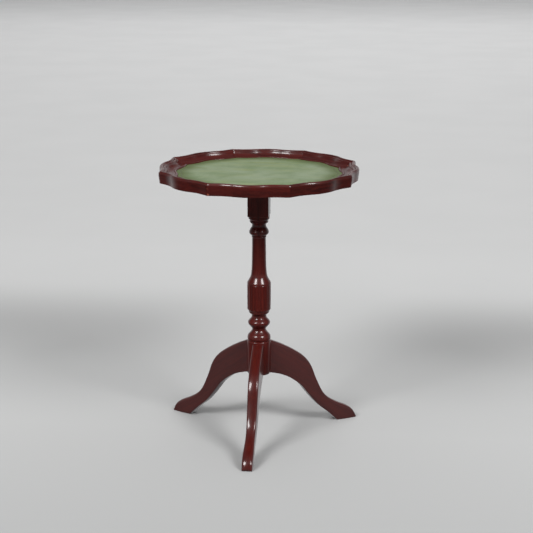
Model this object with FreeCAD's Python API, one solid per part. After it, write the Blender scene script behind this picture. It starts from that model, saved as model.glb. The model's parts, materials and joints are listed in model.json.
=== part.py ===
import FreeCAD, Part
import math
import os

# Tilt top wine table: an octagonal tray top with a green leather panel, on a turned and
# reeded column with three S-curved legs. The top turns on two pins in the column's square
# head and is held flat by a sprung brass catch.
#
# Frame, in millimetres: the origin is on the floor under the middle of the column, +Z up,
# +X to the right, and one leg points to the front along -Y. The top tips forwards: its back
# edge rises and its front edge drops in front of the column.

V = FreeCAD.Vector
UP = V(0, 0, 1)

# ---- Driving sizes: the whole table ----
TABLE_HEIGHT = 500.0        # floor to the crest of the rim
CORNER_RADIUS = 182.4       # column axis to a corner of the top
SIDES = 8                   # sides of the top, one rim moulding on each
FOOT_REACH = 199.4          # column axis to a toe

# ---- Top: rim mouldings, board and leather ----
RIM_HEIGHT = 21.5
RIM_WIDTH = 30.0
SIDE_BULGE = 9.4            # how far the middle of a side stands out past its ends
STRAIGHT_SHARE = 0.25       # straight part at each end of a side, of half the side
RIM_UNDERCUT = 1.75         # how much the outer face leans in at the bottom
BEAD_WIDTH = 7.0            # round outer bead of the moulding
BAND_WIDTH = 3.2            # narrow band between the two grooves
BOARD_THICKNESS = 9.2
BOARD_INSET = 25.7          # bulged middle of a side to the board's straight edge
LEATHER_THICKNESS = 0.8
LEATHER_GAP = 0.2           # between the leather and the rim's inner lip
LIP_HEIGHT = 1.2            # rim's inner lip above the leather

# ---- Column ----
HEAD_WIDTH = 37.6
HEAD_HEIGHT = 67.8
SHAFT_RADIUS = 12.3
REEDED_RADIUS = 21.5
REEDS_ABOVE_HUB = 61.0
REEDS_LENGTH = 48.9
REED_COUNT = 20
REED_DEPTH = 1.1
HUB_RADIUS = 21.6
HUB_BOTTOM = 113.4
HUB_TOP = 176.0
HUB_ROUNDING = 4.5

# ---- Legs ----
LEG_THICKNESS = 20.0
ANKLE_THICKNESS = 17.0
LEG_ROUNDING = 3.0          # round upper edges
LEG_ANGLES = {"leg_front": -90.0, "leg_right": 30.0, "leg_left": 150.0}
TONGUE_DEPTH = 9.0          # sliding dovetail in the hub
TONGUE_NECK = 8.0
TONGUE_WIDTH = 12.0
TONGUE_STOP = 6.0           # the socket ends this far below the hub's top

# ---- Three-armed plate under the hub ----
PLATE_THICKNESS = 2.0
PLATE_RADIUS = 17.0
PLATE_ARM_WIDTH = 12.0
PLATE_ARM_REACH = 46.0
PLATE_SCREW_INSET = 7.0     # from the end of each arm

# ---- Tilt hinge ----
TILT_GAP = 0.2              # head to the underside of the top, closed or tilted
PIVOT_RADIUS = 12.1         # round front top edge of the head, about the pivot
BEARER_GAP = 0.3            # each side of the head
BEARER_WIDTH = 18.0
BEARER_DEPTH = 22.0
BEARER_LENGTH = 240.0
BEARER_END_DEPTH = 10.0     # the bearers thin out towards their ends
BEARER_SCREW_INSET = 14.0   # outer screws, from the bearer's ends
BEARER_SCREW_Y = 40.0       # inner screw
PIN_RADIUS = 3.0
PIN_GAP = 0.05              # running clearance in the head
PIN_IN_HEAD = 14.0
PIN_HEAD_RADIUS = 5.5
PIN_HEAD_HEIGHT = 2.2

# ---- Spring catch ----
BOLT_WIDTH = 11.0
BOLT_THICKNESS = 3.2
BOLT_TRAVEL = 5.5
NOSE_REACH = 4.0            # nose inside the head at rest
BOLT_GAP = 0.1              # around the bolt in its case
NOSE_GAP = 0.3              # around the nose in the striker
CASE_WIDTH = 20.0
CASE_LENGTH = 38.0
CASE_DEPTH = 8.5
CASE_FLANGE = 1.5
CASE_SETBACK = 6.0          # head to the front of the case
CASE_WALL = 3.0             # behind the spring
STEM_SETBACK = 14.0         # case front to the stem at rest
SPRING_LENGTH = 11.0
TAIL_RADIUS = 0.9
STEM_RADIUS = 2.0
KNOB_RADIUS = 5.5
STRIKER_THICKNESS = 1.2
STRIKER_WIDTH = 24.0
STRIKER_HEIGHT = 20.0
STRIKER_DEPTH = 8.0         # upper leaf, over the head's edge
STRIKER_SCREW_RISE = 6.0    # above the striker's lower edge

# ---- Wood screws ----
SCREW_RADIUS = 2.0
SCREW_HEAD_RADIUS = 4.0
SMALL_SCREW_RADIUS = 1.1
SMALL_HEAD_RADIUS = 2.2

# ---- Worked out from the sizes above ----
UNDERSIDE = TABLE_HEIGHT - RIM_HEIGHT
BOARD_TOP = UNDERSIDE + BOARD_THICKNESS
LEATHER_TOP = BOARD_TOP + LEATHER_THICKNESS
HALF_CORNER = math.pi / SIDES
APOTHEM = CORNER_RADIUS * math.cos(HALF_CORNER)
HALF_SIDE = CORNER_RADIUS * math.sin(HALF_CORNER)
HALF_HEAD = HEAD_WIDTH / 2
HEAD_TOP = UNDERSIDE - TILT_GAP
HEAD_BOTTOM = HEAD_TOP - HEAD_HEIGHT
PIVOT_Y = -(HALF_HEAD - PIVOT_RADIUS)
PIVOT_Z = HEAD_TOP - PIVOT_RADIUS
BEARER_X = HALF_HEAD + BEARER_GAP
STRIKER_LEAF_BOTTOM = HEAD_TOP - STRIKER_THICKNESS
BOLT_TOP = STRIKER_LEAF_BOTTOM - NOSE_GAP
BOLT_BOTTOM = BOLT_TOP - BOLT_THICKNESS
BOLT_Z = (BOLT_TOP + BOLT_BOTTOM) / 2
NOSE_Y = HALF_HEAD - NOSE_REACH
CASE_FRONT = HALF_HEAD + CASE_SETBACK
CASE_BACK = CASE_FRONT + CASE_LENGTH
CASE_BOTTOM = UNDERSIDE - CASE_DEPTH
SPRING_REAR = CASE_BACK - CASE_WALL
BOLT_REAR = SPRING_REAR - SPRING_LENGTH
STEM_Y = CASE_FRONT + STEM_SETBACK
REED_TOP = HUB_TOP + REEDS_ABOVE_HUB + REEDS_LENGTH
REED_BOTTOM = HUB_TOP + REEDS_ABOVE_HUB
PLATE_SLOPE = V(1, 0, -0.33)


def box(x0, x1, y0, y1, z0, z1):
    return Part.makeBox(x1 - x0, y1 - y0, z1 - z0, V(x0, y0, z0))


def turned(shape, degrees):
    copy = shape.copy()
    copy.rotate(V(0, 0, 0), UP, degrees)
    return copy


def placed(shape, x, y, z, axis=UP, degrees=0.0):
    copy = shape.copy()
    copy.rotate(V(0, 0, 0), axis, degrees)
    copy.translate(V(x, y, z))
    return copy


def smooth(points):
    curve = Part.BSplineCurve()
    curve.interpolate(points)
    return curve.toShape()


def line(a, b):
    return Part.LineSegment(a, b).toShape()


def arc(a, middle, b):
    return Part.Arc(a, middle, b).toShape()


def wood_screw(length, radius, head_radius):
    """A countersunk screw: its flat head at the origin, its point along +Z.

    Gives the plain solid, which cuts the hole, and the screw with its slot.
    """
    point = 2 * radius
    shank = Part.makeCylinder(radius, length - point)
    tip = Part.makeCone(radius, 0.2 * radius, point, V(0, 0, length - point))
    head = Part.makeCone(head_radius, radius, head_radius - radius)
    plain = shank.fuse([tip, head]).removeSplitter()
    half_slot = 0.14 * head_radius
    slot = box(-head_radius, head_radius, -half_slot, half_slot, -1, 0.25 * head_radius)
    return plain, plain.cut(slot)


# ---- Top ----

def outline(inset):
    """Edges of one side of the top, seen from above, moved in by inset and facing +X."""
    bend_y = HALF_SIDE * (1 - STRAIGHT_SHARE)
    sweep = 2 * math.atan(SIDE_BULGE / bend_y)
    radius = bend_y / (2 * math.sin(sweep))
    edge_x = APOTHEM - inset
    corner = V(edge_x, edge_x * math.tan(HALF_CORNER), 0)
    hollow = radius + inset
    swell = radius - inset
    hollow_x = APOTHEM + radius
    swell_x = APOTHEM + SIDE_BULGE - radius

    def on_hollow(angle):
        return V(hollow_x - hollow * math.cos(angle), bend_y - hollow * math.sin(angle), 0)

    def on_swell(angle):
        return V(swell_x + swell * math.cos(angle), swell * math.sin(angle), 0)

    def mirrored(p):
        return V(p.x, -p.y, 0)

    bend, half_bend = on_hollow(0), on_hollow(sweep / 2)
    join, crown = on_swell(sweep), on_swell(0)
    return [line(mirrored(corner), mirrored(bend)),
            arc(mirrored(bend), mirrored(half_bend), mirrored(join)),
            arc(mirrored(join), crown, join),
            arc(join, half_bend, bend),
            line(bend, corner)]


def tray_plate(inset, z0, z1):
    """A flat plate with the outline of the top, moved in by inset."""
    edges = []
    for k in range(SIDES):
        edges += [turned(e, 360.0 * k / SIDES) for e in outline(inset)]
    wire = Part.Wire(Part.__sortEdges__(edges))
    wire.translate(V(0, 0, z0))
    return Part.Face(wire).extrude(V(0, 0, z1 - z0))


def board_blank():
    radius = (APOTHEM + SIDE_BULGE - BOARD_INSET) / math.cos(HALF_CORNER)
    corners = [V(radius * math.cos(HALF_CORNER * (2 * k + 1)),
                 radius * math.sin(HALF_CORNER * (2 * k + 1)), UNDERSIDE)
               for k in range(SIDES)]
    face = Part.Face(Part.makePolygon(corners + corners[:1]))
    return face.extrude(V(0, 0, BOARD_THICKNESS))


def rim_profile():
    """Section of the moulding in X and Z: outer face, bead, grooves, band, cove and lip."""
    outer = APOTHEM + SIDE_BULGE

    def at(inset, height):
        return V(outer - inset, 0, UNDERSIDE + height)

    shoulder = RIM_HEIGHT - BEAD_WIDTH * 0.75
    groove = RIM_HEIGHT - 3.2
    band_in = BEAD_WIDTH + BAND_WIDTH
    lip = LEATHER_TOP - UNDERSIDE + LIP_HEIGHT
    lip_out = RIM_WIDTH - 3.0
    cove_mid = at((band_in + lip_out) / 2 + 0.5, (groove + lip) / 2 - 2.0)
    return Part.Wire([
        line(at(RIM_WIDTH, 0), at(RIM_UNDERCUT, 0)),
        line(at(RIM_UNDERCUT, 0), at(0, shoulder)),
        arc(at(0, shoulder), at(BEAD_WIDTH * 0.17, RIM_HEIGHT - 1.5),
            at(BEAD_WIDTH * 0.5, RIM_HEIGHT)),
        arc(at(BEAD_WIDTH * 0.5, RIM_HEIGHT), at(BEAD_WIDTH * 0.85, RIM_HEIGHT - 1.0),
            at(BEAD_WIDTH, groove)),
        line(at(BEAD_WIDTH, groove), at(BEAD_WIDTH + 0.8, groove + 1.0)),
        line(at(BEAD_WIDTH + 0.8, groove + 1.0), at(band_in, groove + 0.6)),
        line(at(band_in, groove + 0.6), at(band_in + 0.9, groove - 0.6)),
        arc(at(band_in + 0.9, groove - 0.6), cove_mid, at(lip_out, lip)),
        line(at(lip_out, lip), at(RIM_WIDTH, lip)),
        line(at(RIM_WIDTH, lip), at(RIM_WIDTH, 0))])


def rim_moulding(board):
    """One mitred length of rim, swept along a side and cut back over the board."""
    ends = outline(0)
    over = V(0, RIM_WIDTH, 0)
    first, last = ends[0].Vertexes[0].Point, ends[-1].Vertexes[-1].Point
    path = Part.Wire([line(first - over, first)] + ends + [line(last, last + over)])
    profile = rim_profile()
    profile.translate(V(APOTHEM, first.y - RIM_WIDTH, 0) - V(APOTHEM + SIDE_BULGE, 0, 0))
    sweep = path.makePipeShell([profile], True, True)
    reach = 2 * CORNER_RADIUS
    wedge = Part.Face(Part.makePolygon([
        V(0, 0, 0), V(reach, -reach * math.tan(HALF_CORNER), 0),
        V(reach, reach * math.tan(HALF_CORNER), 0), V(0, 0, 0)]))
    wedge = wedge.extrude(V(0, 0, TABLE_HEIGHT + RIM_HEIGHT))
    return sweep.common(wedge).cut(board)


# ---- Column ----

def column_blank():
    """The turned column below its square head: one outline, revolved."""
    neck = SHAFT_RADIUS
    reed = REEDED_RADIUS
    hub = HUB_RADIUS
    top = HEAD_BOTTOM
    foot = HUB_TOP
    shaft_top = top - 40.5
    shaft = shaft_top - REED_TOP
    stretches = [
        [(0, top), (neck + 6.6, top)],
        [(neck + 6.6, top), (neck + 6.6, top - 5.7)],
        [(neck + 6.6, top - 5.7), (neck + 4.4, top - 7.5)],
        [(neck + 4.4, top - 7.5), (neck + 4.3, top - 12.0)],
        [(neck + 4.3, top - 12.0), (neck + 1.4, top - 14.9), (neck, top - 17.3)],
        [(neck, top - 17.3), (neck + 0.9, top - 20.7), (neck + 3.3, top - 24.4),
         (neck + 5.4, top - 29.5), (neck + 4.2, top - 33.6), (neck + 0.1, top - 37.1)],
        [(neck + 0.1, top - 37.1), (neck + 1.0, top - 38.5), (neck, shaft_top)],
        [(neck, shaft_top), (neck + 0.3, REED_TOP + 0.74 * shaft),
         (neck + 0.5, REED_TOP + 49.0), (neck + 0.75, REED_TOP + 37.0),
         (neck + 1.15, REED_TOP + 28.6), (neck + 1.6, REED_TOP + 23.0),
         (neck + 2.35, REED_TOP + 17.0), (neck + 3.2, REED_TOP + 13.2),
         (neck + 4.4, REED_TOP + 9.6), (reed - 3.1, REED_TOP + 5.0),
         (reed - 0.9, REED_TOP + 1.7), (reed - 0.1, REED_TOP)],
        [(reed - 0.1, REED_TOP), (reed, REED_TOP - 1.6)],
        [(reed, REED_TOP - 1.6), (reed - 0.8, REED_TOP - 2.2)],
        [(reed - 0.8, REED_TOP - 2.2), (reed, REED_TOP - 2.9)],
        [(reed, REED_TOP - 2.9), (reed - 0.1, REED_BOTTOM)],
        [(reed - 0.1, REED_BOTTOM), (reed - 2.6, REED_BOTTOM - 4.6)],
        [(reed - 2.6, REED_BOTTOM - 4.6), (reed - 3.4, REED_BOTTOM - 7.2)],
        [(reed - 3.4, REED_BOTTOM - 7.2), (neck + 2.1, foot + 50.8),
         (neck + 0.9, foot + 47.4)],
        [(neck + 0.9, foot + 47.4), (neck + 1.9, foot + 44.2), (neck + 4.5, foot + 41.0),
         (neck + 7.0, foot + 38.0), (neck + 7.8, foot + 34.8), (neck + 6.5, foot + 31.7),
         (neck + 3.8, foot + 28.5), (neck + 1.2, foot + 25.4), (neck + 0.3, foot + 22.8)],
        [(neck + 0.3, foot + 22.8), (neck + 0.8, foot + 20.2), (neck + 3.7, foot + 16.2),
         (hub - 2.5, foot + 12.8), (hub - 1.0, foot + 9.8), (hub - 0.3, foot + 6.2)],
        [(hub - 0.3, foot + 6.2), (hub - 0.4, foot + 4.2)],
        [(hub - 0.4, foot + 4.2), (hub - 1.3, foot + 3.2)],
        [(hub - 1.3, foot + 3.2), (hub - 1.6, foot + 1.6)],
        [(hub - 1.6, foot + 1.6), (hub - 0.45, foot + 1.15), (hub, foot)],
        [(hub, foot), (hub, HUB_BOTTOM + HUB_ROUNDING)],
        [(hub, HUB_BOTTOM + HUB_ROUNDING),
         (hub - 0.3 * HUB_ROUNDING, HUB_BOTTOM + 0.3 * HUB_ROUNDING),
         (hub - HUB_ROUNDING, HUB_BOTTOM)],
        [(hub - HUB_ROUNDING, HUB_BOTTOM), (0, HUB_BOTTOM)],
        [(0, HUB_BOTTOM), (0, top)]]
    edges = []
    for stretch in stretches:
        points = [V(r, 0, z) for r, z in stretch]
        edges.append(line(*points) if len(points) == 2 else smooth(points))
    return Part.Face(Part.Wire(edges)).revolve(V(0, 0, 0), UP, 360)


def square_head():
    """The square block, its front top edge round about the pivot."""
    h = HALF_HEAD
    lower = box(-h, h, -h, h, HEAD_BOTTOM, PIVOT_Z)
    rear = box(-h, h, PIVOT_Y, h, PIVOT_Z, HEAD_TOP)
    nose = Part.makeCylinder(PIVOT_RADIUS, HEAD_WIDTH, V(-h, PIVOT_Y, PIVOT_Z), V(1, 0, 0))
    return lower.fuse([rear, nose]).removeSplitter()


def reed_grooves():
    """The narrow grooves that part the reeds, as one tool."""
    half = 0.7 * REED_DEPTH
    inner = REEDED_RADIUS - REED_DEPTH
    outer = REEDED_RADIUS + REED_DEPTH
    low, high = REED_BOTTOM - 1.5, REED_TOP - 4.4
    wedge = Part.Face(Part.makePolygon([
        V(inner, 0, low), V(outer, -2 * half, low), V(outer, 2 * half, low),
        V(inner, 0, low)]))
    wedge = wedge.extrude(V(0, 0, high - low))
    return [turned(wedge, 360.0 * k / REED_COUNT) for k in range(REED_COUNT)]


def dovetail(height):
    """A dovetail tongue at the hub's +X side, standing on the hub's lower face."""
    inner = HUB_RADIUS - TONGUE_DEPTH
    outer = HUB_RADIUS + 1.0
    n, w = TONGUE_NECK / 2, TONGUE_WIDTH / 2
    face = Part.Face(Part.makePolygon([
        V(inner, -w, HUB_BOTTOM), V(outer, -n, HUB_BOTTOM), V(outer, n, HUB_BOTTOM),
        V(inner, w, HUB_BOTTOM), V(inner, -w, HUB_BOTTOM)]))
    return face.extrude(V(0, 0, height))


def make_column(cutters):
    solid = column_blank().fuse(square_head()).cut(reed_grooves())
    return solid.cut(cutters).removeSplitter()


# ---- Legs ----

def leg_point(reach, height, top):
    """A point of the leg's side view: shares of the hub-to-toe reach and of a height."""
    return V(HUB_RADIUS + reach * (FOOT_REACH - HUB_RADIUS), 0, height * top)


def leg_blank():
    """A leg along +X: its S-shaped side view, narrowed to the ankle seen from above."""
    back = [leg_point(r, h, HUB_TOP) for r, h in (
        (0, 0.997), (0.13, 0.936), (0.27, 0.855), (0.386, 0.767), (0.461, 0.665),
        (0.519, 0.52), (0.596, 0.36), (0.67, 0.273), (0.78, 0.2), (0.88, 0.15),
        (0.94, 0.112), (0.972, 0.078), (0.99, 0.047), (0.999, 0.016))]
    belly = [leg_point(r, h, HUB_BOTTOM) for r, h in (
        (0.773, 0), (0.672, 0.154), (0.57, 0.288), (0.493, 0.414), (0.42, 0.557),
        (0.342, 0.708), (0.222, 0.858), (0.114, 0.945), (0, 1))]
    inner_top = V(HUB_RADIUS - 3, 0, back[0].z)
    inner_low = V(HUB_RADIUS - 3, 0, belly[-1].z)
    toe = leg_point(0.993, 0, 1)
    face = Part.Face(Part.Wire([
        line(inner_top, back[0]), smooth(back), line(back[-1], toe), line(toe, belly[0]),
        smooth(belly), line(belly[-1], inner_low), line(inner_low, inner_top)]))
    face.translate(V(0, -LEG_THICKNESS / 2, 0))
    plate = face.extrude(V(0, LEG_THICKNESS, 0))
    upper = [e for e in plate.Edges
             if abs(e.BoundBox.YLength) < 1e-6 and e.BoundBox.ZMax > back[0].z - 1e-3
             and e.BoundBox.XMin > HUB_RADIUS - 1 and e.BoundBox.ZLength > 20]
    plate = plate.makeFillet(LEG_ROUNDING, upper)

    half, ankle = LEG_THICKNESS / 2, ANKLE_THICKNESS / 2
    side = [leg_point(r, 0, 1) + V(0, y, 0) for r, y in (
        (-0.03, half), (0.15, half), (0.4, 0.5 * (half + ankle) + 0.3), (0.67, ankle),
        (0.88, half), (1.01, 0.88 * half))]
    other = [V(p.x, -p.y, 0) for p in side]
    plan = Part.Face(Part.Wire([
        smooth(side), line(side[-1], other[-1]), smooth(other), line(other[0], side[0])]))
    plan.translate(V(0, 0, -1))
    return plate.common(plan.extrude(V(0, 0, HUB_TOP + 2)))


def make_leg(angle, cutters):
    """The leg coped to the round hub, with its dovetail tongue."""
    hub = Part.makeCylinder(HUB_RADIUS, HUB_TOP + 2, V(0, 0, -1))
    tongue = dovetail(HUB_TOP - TONGUE_STOP - HUB_BOTTOM)
    solid = turned(leg_blank().cut(hub).fuse(tongue), angle)
    return solid.cut(cutters).removeSplitter()


# ---- Plate under the hub ----

def plate_arm():
    """Side view and width of one arm: flat under the hub, then bent along the leg."""
    bend = V(HUB_RADIUS, 0, HUB_BOTTOM)
    end = bend + PLATE_SLOPE * (PLATE_ARM_REACH - HUB_RADIUS)
    lift = V(0, 0, PLATE_THICKNESS)
    start = V(0, 0, HUB_BOTTOM)
    face = Part.Face(Part.makePolygon([
        start, bend, end, end + lift, bend + lift, start + lift, start]))
    face.translate(V(0, -PLATE_ARM_WIDTH / 2, 0))
    return face.extrude(V(0, PLATE_ARM_WIDTH, 0))


def plate_screws():
    """Angle and placement of each screw: one up the column, one in each leg."""
    tilt = -math.degrees(math.atan2(PLATE_SLOPE.z, PLATE_SLOPE.x))
    spot = V(HUB_RADIUS, 0, HUB_BOTTOM) + PLATE_SLOPE * (PLATE_ARM_REACH - HUB_RADIUS - PLATE_SCREW_INSET)
    plain, screw = wood_screw(16.0, SCREW_RADIUS - 0.4, SCREW_HEAD_RADIUS - 0.8)
    found = {"plate_screw_column": (placed(plain, 0, 0, HUB_BOTTOM),
                                    placed(screw, 0, 0, HUB_BOTTOM))}
    for leg, angle in LEG_ANGLES.items():
        pair = [turned(placed(s, spot.x, 0, spot.z, V(0, 1, 0), tilt), angle)
                for s in (plain, screw)]
        found[leg.replace("leg", "plate_screw")] = tuple(pair)
    return found


def make_plate(holes):
    disc = Part.makeCylinder(PLATE_RADIUS, PLATE_THICKNESS, V(0, 0, HUB_BOTTOM))
    arms = [turned(plate_arm(), angle) for angle in LEG_ANGLES.values()]
    blank = disc.fuse(arms).removeSplitter()
    return blank, blank.cut(holes)


# ---- Bearers and pivot pins ----

def bearer_blank():
    """The right-hand bearer: full depth in the middle, thinner towards its ends."""
    half, flat = BEARER_LENGTH / 2, BEARER_LENGTH / 4
    full, thin = UNDERSIDE - BEARER_DEPTH, UNDERSIDE - BEARER_END_DEPTH
    face = Part.Face(Part.makePolygon([
        V(BEARER_X, y, z) for y, z in (
            (-half, UNDERSIDE), (half, UNDERSIDE), (half, thin), (flat, full),
            (-flat, full), (-half, thin), (-half, UNDERSIDE))]))
    return face.extrude(V(BEARER_WIDTH, 0, 0))


def bearer_screw_spots():
    """How far along a bearer each screw stands, and the depth of wood there."""
    near_end = BEARER_LENGTH / 2 - BEARER_SCREW_INSET
    slope = (BEARER_DEPTH - BEARER_END_DEPTH) / (BEARER_LENGTH / 4)
    end_depth = BEARER_END_DEPTH + BEARER_SCREW_INSET * slope
    return [(-near_end, end_depth), (near_end, end_depth), (BEARER_SCREW_Y, BEARER_DEPTH)]


def pivot_pin():
    """The right-hand pin: pressed in the bearer, its inner end free in the head."""
    outer = BEARER_X + BEARER_WIDTH
    inner = HALF_HEAD - PIN_IN_HEAD
    along = V(1, 0, 0)
    shank = Part.makeCylinder(PIN_RADIUS, outer - inner, V(inner, PIVOT_Y, PIVOT_Z), along)
    head = Part.makeCylinder(PIN_HEAD_RADIUS, PIN_HEAD_HEIGHT, V(outer, PIVOT_Y, PIVOT_Z), along)
    head = head.makeFillet(0.6, [e for e in head.Edges if e.CenterOfMass.x > outer + 2])
    slot = box(outer + 0.5 * PIN_HEAD_HEIGHT, outer + 2 * PIN_HEAD_HEIGHT,
               PIVOT_Y - 0.6, PIVOT_Y + 0.6,
               PIVOT_Z - PIN_HEAD_RADIUS - 1, PIVOT_Z + PIN_HEAD_RADIUS + 1)
    return shank.fuse(head).cut(slot).removeSplitter()


def pin_bores():
    radius = PIN_RADIUS + PIN_GAP
    depth = PIN_IN_HEAD + 0.5
    return [Part.makeCylinder(radius, depth + 1, V(side * (HALF_HEAD - depth), PIVOT_Y, PIVOT_Z),
                              V(side, 0, 0)) for side in (-1, 1)]


# ---- Spring catch ----

def catch_bolt():
    """Flat bolt with a bevelled nose, a tail pin for the spring, and a turned knob."""
    half = BOLT_WIDTH / 2
    nose = V(-half, NOSE_Y, BOLT_TOP)
    face = Part.Face(Part.makePolygon([
        nose, V(-half, BOLT_REAR, BOLT_TOP), V(-half, BOLT_REAR, BOLT_BOTTOM),
        V(-half, NOSE_Y + 2.0, BOLT_BOTTOM), V(-half, NOSE_Y, BOLT_BOTTOM + 2.0), nose]))
    bar = face.extrude(V(BOLT_WIDTH, 0, 0))
    tail = Part.makeCylinder(TAIL_RADIUS, CASE_BACK + 1 - BOLT_REAR + 1,
                             V(0, BOLT_REAR - 1, BOLT_Z), V(0, 1, 0))
    stem_low = CASE_BOTTOM - 4.0
    stem = Part.makeCylinder(STEM_RADIUS, BOLT_BOTTOM - stem_low + 1, V(0, STEM_Y, stem_low))
    knob = Part.makeSphere(KNOB_RADIUS, V(0, STEM_Y, stem_low - 0.7 * KNOB_RADIUS))
    neck = Part.makeCone(0.7 * KNOB_RADIUS, STEM_RADIUS + 0.6, 3.0,
                         V(0, STEM_Y, stem_low - 0.3 * KNOB_RADIUS))
    return bar.fuse([tail, stem, knob, neck]).removeSplitter()


def catch_case(holes):
    """Brass case screwed under the top, open at the front and slotted for the stem."""
    half = CASE_WIDTH / 2
    body = box(-half, half, CASE_FRONT, CASE_BACK, CASE_BOTTOM, UNDERSIDE)
    body = body.makeFillet(1.5, [e for e in body.Edges
                                 if e.BoundBox.ZMax < CASE_BOTTOM + 0.1
                                 and e.BoundBox.XLength < 0.1])
    wide = half + 7.0
    flange = box(-wide, wide, CASE_FRONT, CASE_BACK, UNDERSIDE - CASE_FLANGE, UNDERSIDE)
    flange = flange.makeFillet(3.0, [e for e in flange.Edges if e.BoundBox.ZLength > 1])
    channel = box(-BOLT_WIDTH / 2 - BOLT_GAP, BOLT_WIDTH / 2 + BOLT_GAP,
                  CASE_FRONT - 1, SPRING_REAR,
                  BOLT_BOTTOM - BOLT_GAP, BOLT_TOP + BOLT_GAP)
    tail_hole = Part.makeCylinder(TAIL_RADIUS + 0.08, CASE_LENGTH,
                                  V(0, CASE_FRONT + 5, BOLT_Z), V(0, 1, 0))
    slot = box(-STEM_RADIUS - 0.3, STEM_RADIUS + 0.3, STEM_Y - STEM_RADIUS - 0.3,
               STEM_Y + STEM_RADIUS + BOLT_TRAVEL + 0.3, CASE_BOTTOM - 1, BOLT_BOTTOM)
    return body.fuse(flange).removeSplitter().cut([channel, tail_hole, slot] + holes)


def catch_spring():
    """The coil spring's outer shape, a tube on the bolt's tail pin."""
    length = SPRING_REAR - BOLT_REAR
    at, along = V(0, BOLT_REAR, BOLT_Z), V(0, 1, 0)
    outside = Part.makeCylinder(BOLT_THICKNESS / 2 - 0.1, length, at, along)
    return outside.cut(Part.makeCylinder(TAIL_RADIUS + 0.1, length, at, along))


def catch_screws():
    plain, screw = wood_screw(7.5, SMALL_SCREW_RADIUS, SMALL_HEAD_RADIUS)
    spots = [(x, y) for x in (-CASE_WIDTH / 2 - 3.5, CASE_WIDTH / 2 + 3.5)
             for y in (CASE_FRONT + 5.0, CASE_BACK - 5.0)]
    return [tuple(placed(s, x, y, UNDERSIDE - CASE_FLANGE) for s in (plain, screw))
            for x, y in spots]


def striker_screws():
    plain, screw = wood_screw(10.0, SMALL_SCREW_RADIUS, SMALL_HEAD_RADIUS)
    height = HEAD_TOP - STRIKER_HEIGHT + STRIKER_SCREW_RISE
    return [tuple(placed(s, x, HALF_HEAD, height, V(1, 0, 0), 90) for s in (plain, screw))
            for x in (-0.3 * STRIKER_WIDTH, 0.3 * STRIKER_WIDTH)]


def striker_blank():
    """Folded brass striker: one leaf on the head's rear face, one over its top edge."""
    half = STRIKER_WIDTH / 2
    rear = box(-half, half, HALF_HEAD - STRIKER_THICKNESS, HALF_HEAD,
               HEAD_TOP - STRIKER_HEIGHT, HEAD_TOP)
    over = box(-half, half, HALF_HEAD - STRIKER_DEPTH, HALF_HEAD, STRIKER_LEAF_BOTTOM, HEAD_TOP)
    return rear.fuse(over).removeSplitter()


def nose_mortise():
    half = BOLT_WIDTH / 2 + NOSE_GAP
    return box(-half, half, NOSE_Y - 0.6, HALF_HEAD + 1,
               BOLT_BOTTOM - NOSE_GAP, STRIKER_LEAF_BOTTOM)


# ---- The whole table ----

def build():
    parts = {}

    # Base: column, legs and the plate that ties them together.
    plate_pairs = plate_screws()
    plate_holes = [plain for plain, _ in plate_pairs.values()]
    plate, parts["hub_plate"] = make_plate(plate_holes)
    for name, (_, screw) in plate_pairs.items():
        parts[name] = screw
    striker_pairs = striker_screws()
    striker_holes = [plain for plain, _ in striker_pairs]
    striker = striker_blank()
    sockets = [turned(dovetail(HUB_TOP - TONGUE_STOP - HUB_BOTTOM), angle)
               for angle in LEG_ANGLES.values()]
    parts["column"] = make_column(
        sockets + [plate, striker, nose_mortise()] + plate_holes + striker_holes
        + pin_bores())
    for name, angle in LEG_ANGLES.items():
        parts[name] = make_leg(angle, [plate] + plate_holes)
    parts["striker"] = striker.cut([nose_mortise()] + striker_holes)
    for k, (_, screw) in enumerate(striker_pairs):
        parts[f"striker_screw_{k + 1}"] = screw

    # Top: board, rim mouldings and leather.
    board = board_blank()
    moulding = rim_moulding(board)
    for k in range(SIDES):
        parts[f"rim_{k + 1}"] = turned(moulding, 360.0 * k / SIDES - 90.0)
    parts["leather"] = tray_plate(RIM_WIDTH + LEATHER_GAP, BOARD_TOP, LEATHER_TOP)

    # Bearers, their screws, and the pivot pins.
    holes_in_board = []
    right = bearer_blank()
    pin = pivot_pin()
    for side, turn in (("right", 0), ("left", 1)):
        def sided(shape):
            return shape.mirror(V(0, 0, 0), V(1, 0, 0)) if turn else shape
        bearer_holes = []
        for k, (y, depth) in enumerate(bearer_screw_spots()):
            sunk = 3.0
            length = depth - sunk + 7.0
            plain, screw = wood_screw(length, SCREW_RADIUS, SCREW_HEAD_RADIUS)
            x = BEARER_X + BEARER_WIDTH / 2
            z = UNDERSIDE - depth + sunk
            well = Part.makeCylinder(SCREW_HEAD_RADIUS, depth, V(x, y, z - depth))
            bearer_holes += [placed(plain, x, y, z), well]
            holes_in_board.append(sided(placed(plain, x, y, z)))
            parts[f"bearer_screw_{side}_{k + 1}"] = sided(placed(screw, x, y, z))
        parts[f"bearer_{side}"] = sided(right.cut(bearer_holes + [pin]))
        parts[f"pivot_pin_{side}"] = sided(pin)

    # Spring catch under the top.
    catch_pairs = catch_screws()
    catch_holes = [plain for plain, _ in catch_pairs]
    parts["catch_case"] = catch_case(catch_holes)
    parts["catch_bolt"] = catch_bolt()
    parts["catch_spring"] = catch_spring()
    for k, (_, screw) in enumerate(catch_pairs):
        parts[f"catch_screw_{k + 1}"] = screw
    parts["top_board"] = board.cut(holes_in_board + catch_holes)
    return parts


os.makedirs("parts", exist_ok=True)
for node, shape in build().items():
    solids = shape.Solids
    if len(solids) != 1 or not shape.isValid():
        print("check", node, len(solids), "solids, valid:", shape.isValid())
    (solids[0] if len(solids) == 1 else shape).exportStep(f"parts/{node}.step")
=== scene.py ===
import json
import math

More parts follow.
